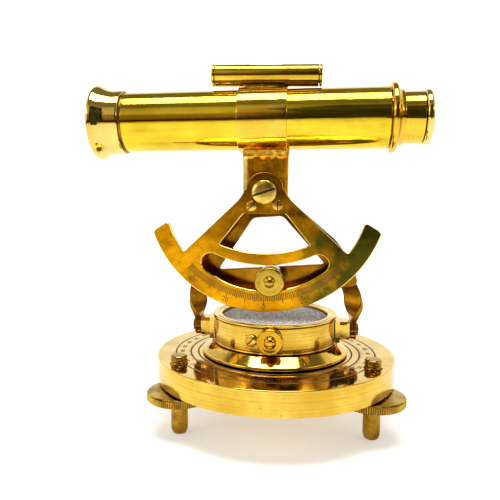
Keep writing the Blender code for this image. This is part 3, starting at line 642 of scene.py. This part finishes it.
def make_feet():
    for number in (1, 2, 3):
        spot = middle(f"leveling_screw_{number}")
        at = Vector((spot.x, spot.y, 0))
        screw = lathe(f"foot_screw_{number}", [
            (0, 0), (2.0, 0), (2.6, 0.35), (3.2, 1.7), (3.2, 30.1), (2.7, 30.5), (0, 30.6),
        ], at, sides=48, closed=False, fillet=0.7, longest=0.16, ripple=thread)
        settle(screw, FOOT_BRASS, f"foot_{number}", [f"leveling_screw_{number}"])
        wheel = lathe(f"knurled_wheel_{number}", [
            (3.5, 13.6), (11.6, 13.6), (12.2, 14.0), (12.2, 16.5), (11.6, 16.9), (3.5, 16.9),
        ], at, sides=4 * KNURL_TEETH, fillet=0.3, longest=1.6, ripple=knurl)
        settle(wheel, WHEEL_BRASS, f"wheel_{number}", [f"leveling_wheel_{number}"],
               sharp=KNURL_SHARP)


# Compass

CONE_R, CONE_Z = 29.3, 28.5
SHOULDER_R, SHOULDER_Z = 25.3, 31.6
DRUM_R = 24.5
VERNIER_START, VERNIER_STEP, VERNIER_LINES = 206, 2.6, 13


def on_cone(bearing, share):
    """A point on the skirt's cone, from its rim (0) to its shoulder (1)."""
    radius = CONE_R + (SHOULDER_R - CONE_R) * share
    height = CONE_Z + (SHOULDER_Z - CONE_Z) * share
    return AXIS + Vector((radius * cos(bearing), radius * sin(bearing), height))


def make_compass():
    skirt = lathe("vernier_skirt_turned", [
        (4.3, 27.5), (CONE_R, 27.5), (CONE_R, CONE_Z), (SHOULDER_R, SHOULDER_Z), (4.3, SHOULDER_Z),
    ], AXIS, sides=160, fillet=0.3)
    settle(skirt, SKIRT_BRASS, "compass", ["vernier_skirt"])
    drum = lathe("compass_drum_turned", [
        (4.3, 31.9), (DRUM_R, 31.9), (DRUM_R, 32.5), (23.9, 32.8), (DRUM_R, 33.1), (DRUM_R, 41.8),
        (21.9, 41.8), (21.9, 40.6), (21.2, 40.6), (21.2, 36.6), (19.4, 36.6), (19.4, 34.4), (4.3, 34.4),
    ], AXIS, sides=160, fillet=0.2)
    settle(drum, DRUM_BRASS, "compass", ["compass_drum"])
    bezel = lathe("bezel_ring_turned", [
        (21.2, 42.1), (24.9, 42.1), (24.9, 43.0), (23.5, 43.0), (23.25, 42.7), (23.0, 42.95),
        (21.2, 42.8),
    ], AXIS, sides=160, fillet=0.3)
    settle(bezel, BEZEL_BRASS, "compass", ["bezel_ring"])
    cover = lathe("speckled_cover", [
        (0, 40.9), (21.6, 40.9), (21.6, 41.5), (20.6, 41.72), (0, 41.8),
    ], AXIS, sides=128, closed=False, fillet=0.2)
    settle(cover, SPECKLED_GREY, "compass", ["cover_glass"])
    strokes = []
    for step in range(VERNIER_LINES):
        bearing = radians(VERNIER_START + step * VERNIER_STEP)
        wide = radians(0.22)
        ends = (0.12, 0.85) if step % 4 == 0 else (0.12, 0.62)
        corners = [on_cone(bearing - wide, ends[0]), on_cone(bearing + wide, ends[0]),
                   on_cone(bearing + wide, ends[1]), on_cone(bearing - wide, ends[1])]
        lift = Vector((cos(bearing) * 0.6, sin(bearing) * 0.6, 0.8)) * 0.03
        strokes.append(([p - lift * 2 for p in corners], [p + lift for p in corners]))
    marks("vernier_marks", strokes, [], "compass")


def screw_head(name, node, radius, height, width, turn, centre, aim, surface, body,
               shank=1.0, length=2.4, sunk=0.0):
    """A domed screw with a slot of the given width.

    Its head stands on the plane through centre, or starts sunk below it, and points along aim.
    """
    head = lathe(name, [
        (0, -length), (shank, -length), (shank, -sunk), (radius, -sunk), (radius, height * 0.45),
        (radius * 0.9, height * 0.68), (radius * 0.7, height * 0.86), (radius * 0.4, height * 0.965),
        (0, height),
    ], ORIGIN, sides=48, closed=False, fillet=0.25, longest=0.6)
    low, high = height * 0.55, height + 1
    end, half = radius + 1, width / 2
    flat = [(-end, -half), (end, -half), (end, half), (-end, half)]
    slot_tool = solid(name + "_tool", [(x, y, low) for x, y in flat], [(x, y, high) for x, y in flat])
    slot_tool.data.transform(Matrix.Rotation(turn, 4, "Z"))
    head = carve(head, [slot_tool])
    across = Vector((-sin(turn), cos(turn), 0))

    # Painted shade: the slot's faces get the dark fill.
    def in_slot(polygon):
        spot = polygon.center / MM
        return int(abs(spot.dot(across)) < half + 0.01 and spot.z > low - 0.01)

    paint(head, [surface, MARK_FILL_AND_SLOT_SHADE], in_slot)
    head.data.transform(Matrix.Translation(centre * MM) @ aim)
    settle(head, None, body, [node])


def make_small_screws():
    for side, word in ((-1, "left"), (1, "right")):
        seat = AXIS + Vector((side * 32.7, 0, LUG_Z))
        aim = Matrix.Rotation(side * pi / 2, 4, "Y")
        screw_head(f"{word}_leg_screw_cut", f"{word}_leg_screw", 2.4, 0.9, 0.5, radians(side * 30),
                   seat, aim, OLD_BRASS_AND_SHADE, "compass", 1.4, 5.8)
    turn = asin(-7.0 / DRUM_R)
    face = DRUM_R + 0.45
    seat = AXIS + Vector((face * sin(turn), -face * cos(turn), 37.0))
    aim = Matrix.Rotation(turn, 4, "Z") @ AIM["-Y"]
    screw_head("drum_screw_cut", "drum_screw", 2.3, 0.95, 0.5, radians(45), seat, aim,
               SMALL_SCREW_BRASS, "compass")


def make_thumbscrew():
    front = DRUM_R + 0.3
    thumb = lathe("thumbscrew_turned", [
        (0, 22.4), (1.6, 22.4), (1.6, front), (3.8, front), (4.9, front + 1.2), (4.9, front + 3.0),
        (4.5, front + 3.4), (2.6, front + 3.1), (2.1, front + 3.2), (1.9, front + 4.2), (1.2, front + 4.8),
        (0, front + 4.9),
    ], Vector((AXIS.x, AXIS.y, THUMB_Z)), "-Y", sides=72, closed=False, fillet=0.35, longest=0.8)
    settle(thumb, THUMB_BRASS, "drum_clamp", ["drum_thumbscrew"])


# Upright

LEG_TOP, LUG_Z = 55.0, 36.95
LEG_X, LEG_INWARD = 31.2, {-1: 0.0, 1: 2.0}  # the right leg starts further in than the left
EYE_R = 3.95
LEG_RING, LEG_ROWS, EYE_ROWS = 20, 56, 14
PIVOT_BORE = 3.3
UPRIGHT_FRONT, UPRIGHT_BACK = -0.2, 3.0
STUD_DOWN, STUD_R = 34.4, 2.1


def leg_section(side, share):
    """Middle, half width, half thickness and turn of a leg, from the band (0) to its lug (1) and on."""
    run = min(1.0, share)
    z = LEG_TOP + (LUG_Z - LEG_TOP) * share
    bulge = 0.6 * sin(pi * min(1.0, run / 0.8)) - LEG_INWARD[side] * (1 - run) ** 3
    twist = min(1.0, max(0.0, (run - 0.2) / 0.65))
    turn = radians(90) * twist * twist * (3 - 2 * twist)
    wide = 3.3 + 0.7 * run
    thick = 1.45 * (1 - run) + 1.2 * run
    centre = Vector((side * (LEG_X + bulge), 1.4 * (1 - run), z))
    if z < LUG_Z:
        wide *= sqrt(max(0.0, 1 - ((LUG_Z - z) / EYE_R) ** 2))
    return centre, wide, thick, turn


def make_leg(side, word):
    shares = [step / LEG_ROWS for step in range(LEG_ROWS + 1)]
    past = (EYE_R - 0.01) / (LEG_TOP - LUG_Z)
    shares += [1 + past * sin(pi / 2 * step / EYE_ROWS) for step in range(1, EYE_ROWS + 1)]
    points = []
    for share in shares:
        centre, wide, thick, turn = leg_section(side, share)
        across = Vector((cos(turn), -side * sin(turn), 0))
        through = Vector((side * sin(turn), cos(turn), 0))
        corner = min(0.35, wide * 0.5)
        outline = rounded([(-wide, -thick), (wide, -thick), (wide, thick), (-wide, thick)], corner / 0.9, 4)
        for a, b in outline[:LEG_RING]:
            points.append(AXIS + centre + across * a + through * b)
    return skinned(f"{word}_leg_shape", points, LEG_RING)


def make_upright():
    place = Matrix.Translation(PIVOT * MM) @ Matrix.Rotation(-LEAN, 4, "Y")
    right = [(7.0, -1.6), (26.5, -21.0), (30.4, -27.0), (33.0, -33.5), (34.2, -39.5), (27.0, -40.1)]
    boss = [(-x, z) for x, z in arc((0, 0), 7.4, 102, 258, 40)]
    left = [(-x, z) for x, z in reversed(right)]
    outline = rounded(right + [(20.0, -39.5), (-20.0, -39.5)] + left, 3.0, 6)
    window = rounded([(-5.9, -10.0), (5.9, -10.0), (21.5, -30.1), (-21.5, -30.1)], 1.6, 5)
    hole = arc((0, 0), PIVOT_BORE, 0, 345, 23)
    stud = arc((0, -STUD_DOWN), STUD_R, 0, 340, 17)
    outlines = [outline + boss, window, hole, stud]
    body = plate("upright_shape", outlines, UPRIGHT_FRONT, UPRIGHT_BACK, 0.35, place)
    body = carve(body, [make_leg(-1, "left"), make_leg(1, "right")], "UNION")
    settle(body, UPRIGHT_BRASS, "compass", ["upright_frame"], sharp=PLATE_SHARP)


def make_pivot_screw():
    place = Matrix.Rotation(-LEAN, 4, "Y") @ AIM["-Y"]
    seat = PIVOT + Vector((0, -11.2, 0))
    screw_head("pivot_screw_cut", "pivot_screw", 4.65, 1.9, 0.8, radians(14), seat, place,
               SCREW_BRASS, "compass", 3.0, 17.8)


def make_clamp_knob():
    front = 10.5
    knob = lathe("clamp_knob_turned", [
        (0, -3.6), (1.8, -3.6), (1.8, front), (5.2, front), (5.7, front + 0.5), (5.7, front + 2.6),
        (5.3, front + 3.0), (2.3, front + 2.95), (1.9, front + 3.1), (1.5, front + 4.0), (0, front + 4.4),
    ], Vector((KNOB.x, AXIS.y, KNOB.z)), "-Y", sides=96, closed=False, fillet=0.4, longest=0.8)
    settle(knob, KNOB_BRASS, "sector_clamp", ["sector_clamp_knob"])


# Sector

SECTOR_FRONT, SECTOR_BACK = -10.2, -7.4
RECESS_Y, RECESS_R = -9.5, 5.6
SLOT_R, SLOT_END_R, SLOT_ANGLE = 34.6, 3.6, 37.5
TICK_IN, TICK_TENS, TICK_FIVES, TICK_ONES, TICK_TEXT = 39.5, 43.4, 42.8, 42.2, 44.5
TICK_HALF, TICK_FIGURE = 0.15, 2.7


def sector_outline():
    """The round boss, the arms' sloping edges and the rim with its two horns."""
    half = [(7.6, 1.2), (8.5, -0.9), (10.3, -3.3), (31.2, -23.0)] + arc((0, 0), 39.5, 55.0, 72.1, 16)
    tip = [arc((0, 0), 40.5, 72.9, 72.9, 1)[0], arc((0, 0), 45.4, 71.3, 71.3, 1)[0]]
    right = half + tip
    rim = arc((0, 0), 46.6, 70.1, -70.1, 120)
    left = [(-x, z) for x, z in reversed(right)]
    return rounded(right + rim + left, 0.6, 3) + arc((0, 0), 7.6, -115, -245, 40)


def window_outline():
    """The hole between the arms and the curved bar."""
    spread = degrees(asin(17.6 / 46.0))
    bottom = arc((0, 22.3), 46.0, -spread, spread, 32)
    return rounded([(-8.2, -8.4)] + bottom + [(8.2, -8.4)], 0.9, 4)


def slot_outline():
    """The curved slot that the clamp's stud runs in."""
    centre = arc((0, 0), SLOT_R, SLOT_ANGLE, SLOT_ANGLE, 1)[0]
    lower = arc((0, 0), SLOT_R + SLOT_END_R, -SLOT_ANGLE, SLOT_ANGLE, 60)
    right_end = arc(centre, SLOT_END_R, 52.5, 172.5, 14)
    spread = degrees(asin((centre[0] - 1.0) / 47.3))
    upper = arc((0, 19.1), 47.3, spread, -spread, 36)
    return rounded(lower + right_end + upper + [(-x, z) for x, z in reversed(right_end)], 0.8, 4)


def make_sector():
    place = Matrix.Translation(PIVOT * MM)
    hole = arc((0, 0), PIVOT_BORE, 0, 345, 23)
    outlines = [sector_outline(), window_outline(), slot_outline(), hole]
    sector = plate("sector_cast", outlines, SECTOR_FRONT, SECTOR_BACK, 0.3, place)
    # The bevels get the paler brass as a painted highlight.
    paint(sector, [SECTOR_BRASS, PAINTED_HIGHLIGHT_BRASS], on_bevel)
    mouth = [(-8.2, -9.4)] + arc((0, 0), RECESS_R, -118, -242, 28) + [(8.2, -9.4)]
    tool = solid("recess_tool", [PIVOT + Vector((x, SECTOR_FRONT - 1, z)) for x, z in mouth],
                 [PIVOT + Vector((x, RECESS_Y, z)) for x, z in mouth])
    tool.data.materials.append(NECK_BRASS)
    sector = carve(sector, [tool])
    settle(sector, None, "telescope", ["sector_plate"], sharp=PLATE_SHARP)
    strokes, texts = [], []
    for degree in range(-45, 46):
        angle = radians(degree)
        out = Vector((sin(angle), 0, -cos(angle)))
        across = Vector((cos(angle), 0, sin(angle)))
        far = TICK_TENS if degree % 10 == 0 else TICK_FIVES if degree % 5 == 0 else TICK_ONES
        flat = bar(ORIGIN, out, across * TICK_HALF, TICK_IN, far)
        strokes.append(([PIVOT + p + Vector((0, SECTOR_FRONT + MARK_DEEP, 0)) for p in flat],
                        [PIVOT + p + Vector((0, SECTOR_FRONT - MARK_PROUD, 0)) for p in flat]))
        if degree % 20 == 0:
            turn = Matrix(((across.x, -out.x, 0), (0, 0, -1), (across.z, -out.z, 0))).to_4x4()
            spot = (PIVOT + out * TICK_TEXT + Vector((0, SECTOR_FRONT, 0))) * MM
            texts.append((str(abs(degree)), TICK_FIGURE, Matrix.Translation(spot) @ turn))
    marks("sector_scale", strokes, texts, "telescope")


def make_sector_screws():
    for word, x, z, turn in (("left", -4.9, -5.3, 45), ("right", 5.1, -5.0, 90)):
        seat = PIVOT + Vector((x, SECTOR_FRONT - 0.15, z))
        screw_head(f"{word}_sector_screw_cut", f"{word}_sector_screw", 2.0, 0.8, 0.4, radians(turn),
                   seat, AIM["-Y"], SMALL_SCREW_BRASS, "telescope", 1.0, 5.5, 0.8)


# Telescope

TUBE_R, BAND_R, SEAT_R = 11.5, 12.4, 4.4
NECK_LOW, NECK_Y, FLARE_Z, SOLDER_Z = 83.7, 3.8, 104.2, 105.4


def neck_face(polygon):
    """0 on the block, 1 on the solder under the band, and 2 on the left chamfer, which gets a painted
    highlight.
    """
    if polygon.center.z > SOLDER_Z * MM:
        return 1
    return 2 if polygon.normal.x < -0.25 and polygon.normal.y < -0.25 else 0


def make_neck():
    """The block between the pivot and the tube, with a rough fillet of solder under the clamp band."""
    outline = [(-8.8, -0.5), (-8.8, -5.9), (-6.9, -7.1), (7.4, -7.1), (8.8, -6.2), (8.8, -0.5)]
    outline = split_long(rounded(outline, 0.4, 2), 0.6, True)
    levels = [NECK_LOW, NECK_LOW + 0.15, NECK_LOW + 0.45]
    levels += [84.6 + step for step in range(20)] + [104 + step * 0.4 for step in range(16)]
    points = []
    for z in levels:
        flare = max(0.0, (z - FLARE_Z) / 5.6)
        shrink = 0.35 * max(0.0, 1 - (z - NECK_LOW) / 0.45)
        for x, y in outline:
            lump = noise.noise(Vector((x * 0.55, y * 0.55, z * 0.7))) * min(1.0, flare * 5)
            grow = 0.75 * flare ** 2 + 0.32 * lump
            spread_x = x * (1 + (grow - shrink) / 8.8)
            spread_y = -NECK_Y + (y + NECK_Y) * (1 + (2.4 * flare ** 1.6 + 0.45 * lump - shrink) / 3.3)
            points.append(Vector((PIVOT.x + spread_x, AXIS.y + spread_y, z)))
    neck = skinned("neck_soldered", points, len(outline))
    cradle = rod("cradle_tool", 11.7, 30, TUBE, "X", 96)
    bore = rod("bore_tool", PIVOT_BORE, 12, Vector((PIVOT.x, AXIS.y - NECK_Y, PIVOT.z)), "-Y", 40)
    neck = carve(neck, [cradle, bore])
    # The left-front chamfer alone gets the paler brass, a painted highlight.
    paint(neck, [NECK_BRASS, SOLDER_BRASS, PAINTED_HIGHLIGHT_BRASS], neck_face)
    settle(neck, None, "telescope", ["neck_block"], sharp=NECK_SHARP)


def lie_with_level(obj):
    """Take a piece turned about X round the origin to where the level lies."""
    obj.data.transform(LEVEL_LIES)
    return obj


def level_seat():
    """The round hollow that the level lies in."""
    return lie_with_level(rod("level_seat_tool", SEAT_R, 30, ORIGIN, "X", 72))


def make_band():
    """The thin band round the tube, and the lumpy saddle of solder under the level."""
    low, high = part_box("clamp_band")[0].x / MM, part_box("clamp_band")[1].x / MM
    band = lathe("clamp_band_rolled", [
        (11.8, low), (BAND_R, low), (BAND_R, high), (11.8, high),
    ], TUBE, "X", sides=144, fillet=0.35, longest=1.2)
    band = carve(band, [level_seat()])
    settle(band, BAND_BRASS, "telescope", ["clamp_band"], sharp=TURNED_SHARP)
    points = []
    steps = 40
    left = [(-3.2, 0.0), (-2.9, 1.4), (-2.6, 2.8), (-2.3, 3.8)]
    outline = left + [(-y, z) for y, z in reversed(left)]
    for step in range(steps + 1):
        x = low + 1.5 + (high - low - 3.0) * step / steps
        swell = 1.0 - 0.25 * (abs(2 * step / steps - 1)) ** 6
        for y, z in outline:
            lump = noise.noise(Vector((x * 0.6, y, z))) * 0.3
            rise = 11.9 + z * 0.55
            points.append(Vector((x, TUBE.y + y * swell + lump * 0.6, TUBE.z + rise + lump * 0.3)))
    saddle = carve(skinned("level_saddle", points, len(outline)), [level_seat()])
    settle(saddle, OLD_BRASS_AND_SHADE, "telescope", sharp=SADDLE_SHARP)


def make_tube():
    start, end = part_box("main_tube")[0].x / MM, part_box("main_tube")[1].x / MM
    tube = lathe("main_tube_drawn", [
        (10.2, start), (TUBE_R, start), (TUBE_R, end), (10.2, end),
    ], TUBE, "X", sides=144, fillet=0.3)
    settle(tube, TUBE_BRASS, "telescope", ["main_tube"])
    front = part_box("objective_bell")[0].x / MM
    bell = lathe("objective_bell_turned", [
        (12.7, front), (13.9, front), (14.5, front + 0.7), (14.5, front + 2.0), (13.9, front + 3.1),
        (13.2, front + 4.5), (12.75, front + 6.0), (12.55, front + 7.6), (12.5, front + 11.2),
        (12.2, front + 11.8), (11.1, front + 11.8), (11.1, front + 12.6), (10.6, front + 12.6),
        (10.6, front + 7.5), (11.6, front + 7.5), (11.6, front + 3.0),
    ], TUBE, "X", sides=144, fillet=0.8, longest=0.8)
    # The bell's back face and spigot, in the gap against the tube, get the dark brass as painted shade.
    rear = (front + 11.75) * MM
    paint(bell, [BELL_BRASS, OLD_BRASS_AND_SHADE], lambda polygon: int(polygon.center.x > rear))
    settle(bell, None, "telescope", ["objective_bell"], sharp=TURNED_SHARP)
    lens = lathe("objective_lens_ground", [
        (0, front + 3.9), (4.0, front + 4.05), (8.0, front + 4.5), (11.2, front + 5.2),
        (11.2, front + 7.2), (0, front + 7.2),
    ], TUBE, "X", sides=96, closed=False, fillet=0.5, longest=1.0)
    settle(lens, LENS_GLASS, "telescope", ["objective_lens"])
    collar_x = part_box("tube_collar")[0].x / MM
    collar = lathe("tube_collar_turned", [
        (9.9, collar_x), (12.4, collar_x), (13.0, collar_x + 0.6), (13.0, collar_x + 1.9),
        (12.4, collar_x + 2.4), (11.5, collar_x + 2.6), (10.7, collar_x + 3.4), (10.35, collar_x + 4.7),
        (9.9, collar_x + 4.7),
    ], TUBE, "X", sides=128, fillet=0.6, longest=0.6)
    settle(collar, COLLAR_BRASS, "telescope", ["tube_collar"], sharp=TURNED_SHARP)


def make_eyepiece():
    start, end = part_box("draw_tube")[0].x / MM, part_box("draw_tube")[1].x / MM
    draw = lathe("draw_tube_drawn", [
        (8.4, start), (9.6, start), (9.6, end), (8.4, end),
    ], TUBE, "X", sides=112, fillet=0.2)
    settle(draw, DRAW_BRASS, "eyepiece", ["draw_tube"])
    cap_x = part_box("eyepiece_cap")[0].x / MM
    cap = lathe("eyepiece_cap_turned", [
        (5.2, cap_x), (9.7, cap_x), (10.2, cap_x + 0.5), (10.2, cap_x + 1.9), (9.6, cap_x + 2.5),
        (7.5, cap_x + 2.9), (5.2, cap_x + 2.9),
    ], TUBE, "X", sides=112, fillet=0.5, longest=0.8)
    settle(cap, BELL_BRASS, "eyepiece", ["eyepiece_cap"], sharp=TURNED_SHARP)
    lens = lathe("eye_lens_ground", [
        (0, cap_x), (4.9, cap_x), (4.9, cap_x + 3.0), (4.2, cap_x + 3.6), (0, cap_x + 4.0),
    ], TUBE, "X", sides=64, closed=False, fillet=0.8, longest=0.8)
    settle(lens, BLACK_GLASS, "eyepiece", ["eye_lens"])


def make_level():
    half, radius = 21.0, 4.15
    case = lathe("level_tube_drawn", [
        (3.1, 1.3 - half), (radius, 1.3 - half), (radius, half - 1.3), (3.1, half - 1.3),
    ], ORIGIN, "X", sides=72, fillet=0.15, longest=1.6)
    window = rounded([(-6.8, -2.1), (6.8, -2.1), (6.8, 2.1), (-6.8, 2.1)], 1.8, 6)
    tool = solid("window_tool", [(x, y, 1.5) for x, y in window], [(x, y, 6) for x, y in window])
    case = carve(case, [tool])
    settle(lie_with_level(case), LEVEL_BRASS, "telescope", ["level_tube"])
    vial = lathe("level_vial_blown", [
        (0, 2.2 - half), (2.8, 2.2 - half), (2.8, half - 2.2), (0, half - 2.2),
    ], ORIGIN, "X", sides=48, closed=False, fillet=1.6, longest=1.6)
    settle(lie_with_level(vial), VIAL_FLUID, "telescope", ["level_vial"])
    for side, word in ((-1, "left"), (1, "right")):
        cap = lathe(f"{word}_level_cap_turned", [
            (0, side * (half - 0.25)), (3.0, side * (half - 0.25)), (3.2, side * half), (3.9, side * half),
            (radius, side * (half - 0.3)), (radius, side * (half - 1.0)), (2.95, side * (half - 1.0)),
            (2.95, side * (half - 1.8)), (0, side * (half - 1.8)),
        ], ORIGIN, "X", sides=72, closed=False, fillet=0.15, longest=0.8)
        settle(lie_with_level(cap), LEVEL_BRASS, "telescope", [f"{word}_level_cap"])


# Pieces that keep their CAD shape

def dress(node, surface, bevel=0.25):
    """Give a CAD node its material and soften its edges."""
    obj = NODES[node]
    obj.data.materials.clear()
    obj.data.materials.append(surface)
    if bevel:
        soft = obj.modifiers.new("soft_edges", "BEVEL")
        soft.width = bevel * MM
        soft.segments = 3
        soft.limit_method = "ANGLE"
        soft.angle_limit = radians(40)
        shade(obj, USUAL_SHARP)


def dress_cad():
    for node in ("left_lug", "right_lug"):
        dress(node, DRUM_BRASS, 0.3)
    for node in ("pivot_nut", "clamp_spacer", "pivot_washer", "centre_spindle"):
        dress(node, OLD_BRASS_AND_SHADE, 0.2)
    dress("compass_dial", CARD, 0.0)
    dress("needle_pin", STEEL, 0.0)
    dress("compass_needle", BLUED, 0.0)


# Stage

def make_stage():
    """A pale floor that curves up behind the object, and a dark card in front for the brass to mirror."""
    bend, bend_start, bend_steps = 0.5, 0.7, 12
    profile = [(-0.9, 0.0), (bend_start, 0.0)]
    for step in range(1, bend_steps + 1):
        angle = radians(90 * step / bend_steps)
        profile.append((bend_start + bend * sin(angle), bend - bend * cos(angle)))
    profile.append((bend_start + bend, 1.35))
    mesh = bpy.data.meshes.new("floor")
    points = [(x, y, z) for y, z in profile for x in (-2.5, 2.5)]
    faces = [(2 * i, 2 * i + 1, 2 * i + 3, 2 * i + 2) for i in range(len(profile) - 1)]
    mesh.from_pydata(points, [], faces)
    mesh.shade_smooth()
    floor = placed("floor", mesh)
    made, tree, shader, place = new_material("floor_paper")
    shader.inputs["Base Color"].default_value = (0.74, 0.74, 0.74, 1)
    shader.inputs["Roughness"].default_value = 0.9
    shader.inputs["Specular IOR Level"].default_value = 0.2
    shader.inputs["Emission Color"].default_value = (1.0, 1.0, 0.995, 1)
    rise = add(tree, "SeparateXYZ", {0: place})
    glow = span(rise.outputs[1], 0.1, 0.9, 0.36, 0.62)
    tree.links.new(glow, shader.inputs["Emission Strength"])
    mesh.materials.append(made)
    points = []
    corners, radius, (x, y, z) = 72, 225, (205, -420, 280)
    for step in range(corners):
        angle = 2 * pi * step / corners
        swell = 1 + 0.10 * sin(3 * angle + 0.6) + 0.06 * sin(7 * angle + 1.0)
        points.append((x + radius * swell * cos(angle), y, z + radius * swell * sin(angle)))
    card = mesh_object("dark_card", points, [tuple(range(corners))])
    card.data.materials.append(plain("dark_cloth", (0.050, 0.055, 0.016), (0.012, 0.010, 0.006), 0.9, 9.0))
    card.visible_camera = False
    card.visible_diffuse = False
    card.visible_shadow = False


def softbox(name, place, aim, size, power, colour=(1, 1, 1)):
    lamp = bpy.data.lights.new(name, "AREA")
    lamp.shape = "RECTANGLE"
    lamp.size, lamp.size_y = size
    lamp.energy = power
    lamp.color = colour
    made = placed(name, lamp)
    made.location = place
    made.rotation_quaternion = (Vector(aim) - Vector(place)).to_track_quat("-Z", "Y")
    made.rotation_mode = "QUATERNION"
    made.visible_camera = False


def make_room():
    """The room that the brass mirrors: bright above and behind, brown and dark at eye level in front."""
    world = bpy.data.worlds.new("room")
    bpy.context.scene.world = world
    world.use_nodes = True
    tree = world.node_tree
    background = tree.nodes["Background"]
    way = add(tree, "TexCoord").outputs["Generated"]
    wobble = maths("SUBTRACT", noise_of(way, 3.5, 4), 0.5)
    parts = add(tree, "SeparateXYZ", {0: way})
    height = times(maths("ARCSINE", parts.outputs[2]), 180 / pi)
    height = maths("ADD", height, times(wobble, 5.0))
    climb = add(tree, "ValToRGB", {0: span(height, -90, 90)})
    stops = [
        (-90, (0.85, 0.83, 0.78)), (-9, (0.80, 0.78, 0.72)), (-4, (0.42, 0.36, 0.26)),
        (-2.5, (0.03, 0.018, 0.01)), (2, (0.06, 0.03, 0.012)), (6, (0.30, 0.18, 0.08)),
        (20, (0.36, 0.27, 0.16)), (25, (0.66, 0.62, 0.54)), (44, (0.52, 0.50, 0.44)),
        (50, (0.22, 0.21, 0.18)), (90, (0.28, 0.27, 0.25)),
    ]
    elements = climb.color_ramp.elements
    while len(elements) < len(stops):
        elements.new(0.5)
    for element, (angle, colour) in zip(elements, stops):
        element.position = (angle + 90) / 180
        element.color = (*colour, 1)
    aside = maths("ADD", parts.outputs[0], times(wobble, 0.5))
    shadow = times(span(aside, -0.14, 0.03), span(aside, 0.75, 0.55))
    shadow = times(shadow, span(height, -4, -2))
    shadow = times(shadow, span(height, 48, 42))
    leaves = mixed(span(noise_of(way, 7.0, 3), 0.42, 0.6), (0.012, 0.010, 0.006),
                   (0.055, 0.060, 0.018))
    front = mixed(shadow, climb.outputs[0], leaves)
    behind = times(span(parts.outputs[1], -0.15, 0.25), span(height, 47, 43))
    room = mixed(behind, front, (0.90, 0.90, 0.88))
    window = times(span(parts.outputs[0], -0.60, -0.72), span(height, 0, 3))
    window = times(window, span(height, 36, 32))
    room = mixed(window, room, (0.95, 0.93, 0.88))
    seen = add(tree, "LightPath").outputs["Is Camera Ray"]
    tree.links.new(mixed(seen, room, (0.93, 0.93, 0.925)), background.inputs["Color"])
    background.inputs["Strength"].default_value = 1.0


def make_lights():
    softbox("overhead", (0.0, -0.10, 0.75), (0, 0, 0.08), (0.55, 0.30), 4.2)
    softbox("left_fill", (-0.8, -0.55, 0.5), (0, 0, 0.07), (0.45, 0.45), 2.2, (1, 0.97, 0.92))
    softbox("right_fill", (0.85, -0.35, 0.45), (0, 0, 0.06), (0.35, 0.45), 1.4, (1, 0.97, 0.92))


def make_camera():
    """The reference picture's viewing angle: from slightly above and a little right of the middle."""
    pan, pitch, roll = -0.1461, 0.1146, -0.0007
    eye = Vector((19.68, -226.95, 92.4)) * MM
    data = bpy.data.cameras.new("camera")
    data.sensor_width = 36.0
    data.lens = 40.19
    data.shift_x, data.shift_y = 0.047, 0.008
    data.clip_start, data.clip_end = 0.01, 20.0
    made = placed("camera", data)
    level = cos(pitch)
    ahead = Vector((sin(pan) * level, cos(pan) * level, -sin(pitch)))
    look = ahead.to_track_quat("-Z", "Y").to_matrix().to_4x4()
    made.matrix_world = Matrix.Translation(eye) @ look @ Matrix.Rotation(roll, 4, "Z")
    bpy.context.scene.camera = made


make_camera()
make_stage()
make_room()
make_lights()
make_base()
make_feet()
make_compass()
make_small_screws()
make_thumbscrew()
make_upright()
make_pivot_screw()
make_clamp_knob()
make_sector()
make_sector_screws()
make_neck()
make_band()
make_tube()
make_eyepiece()
make_level()
dress_cad()
bpy.context.scene.view_settings.view_transform = "Standard"
bpy.context.scene.view_settings.look = "Medium High Contrast"
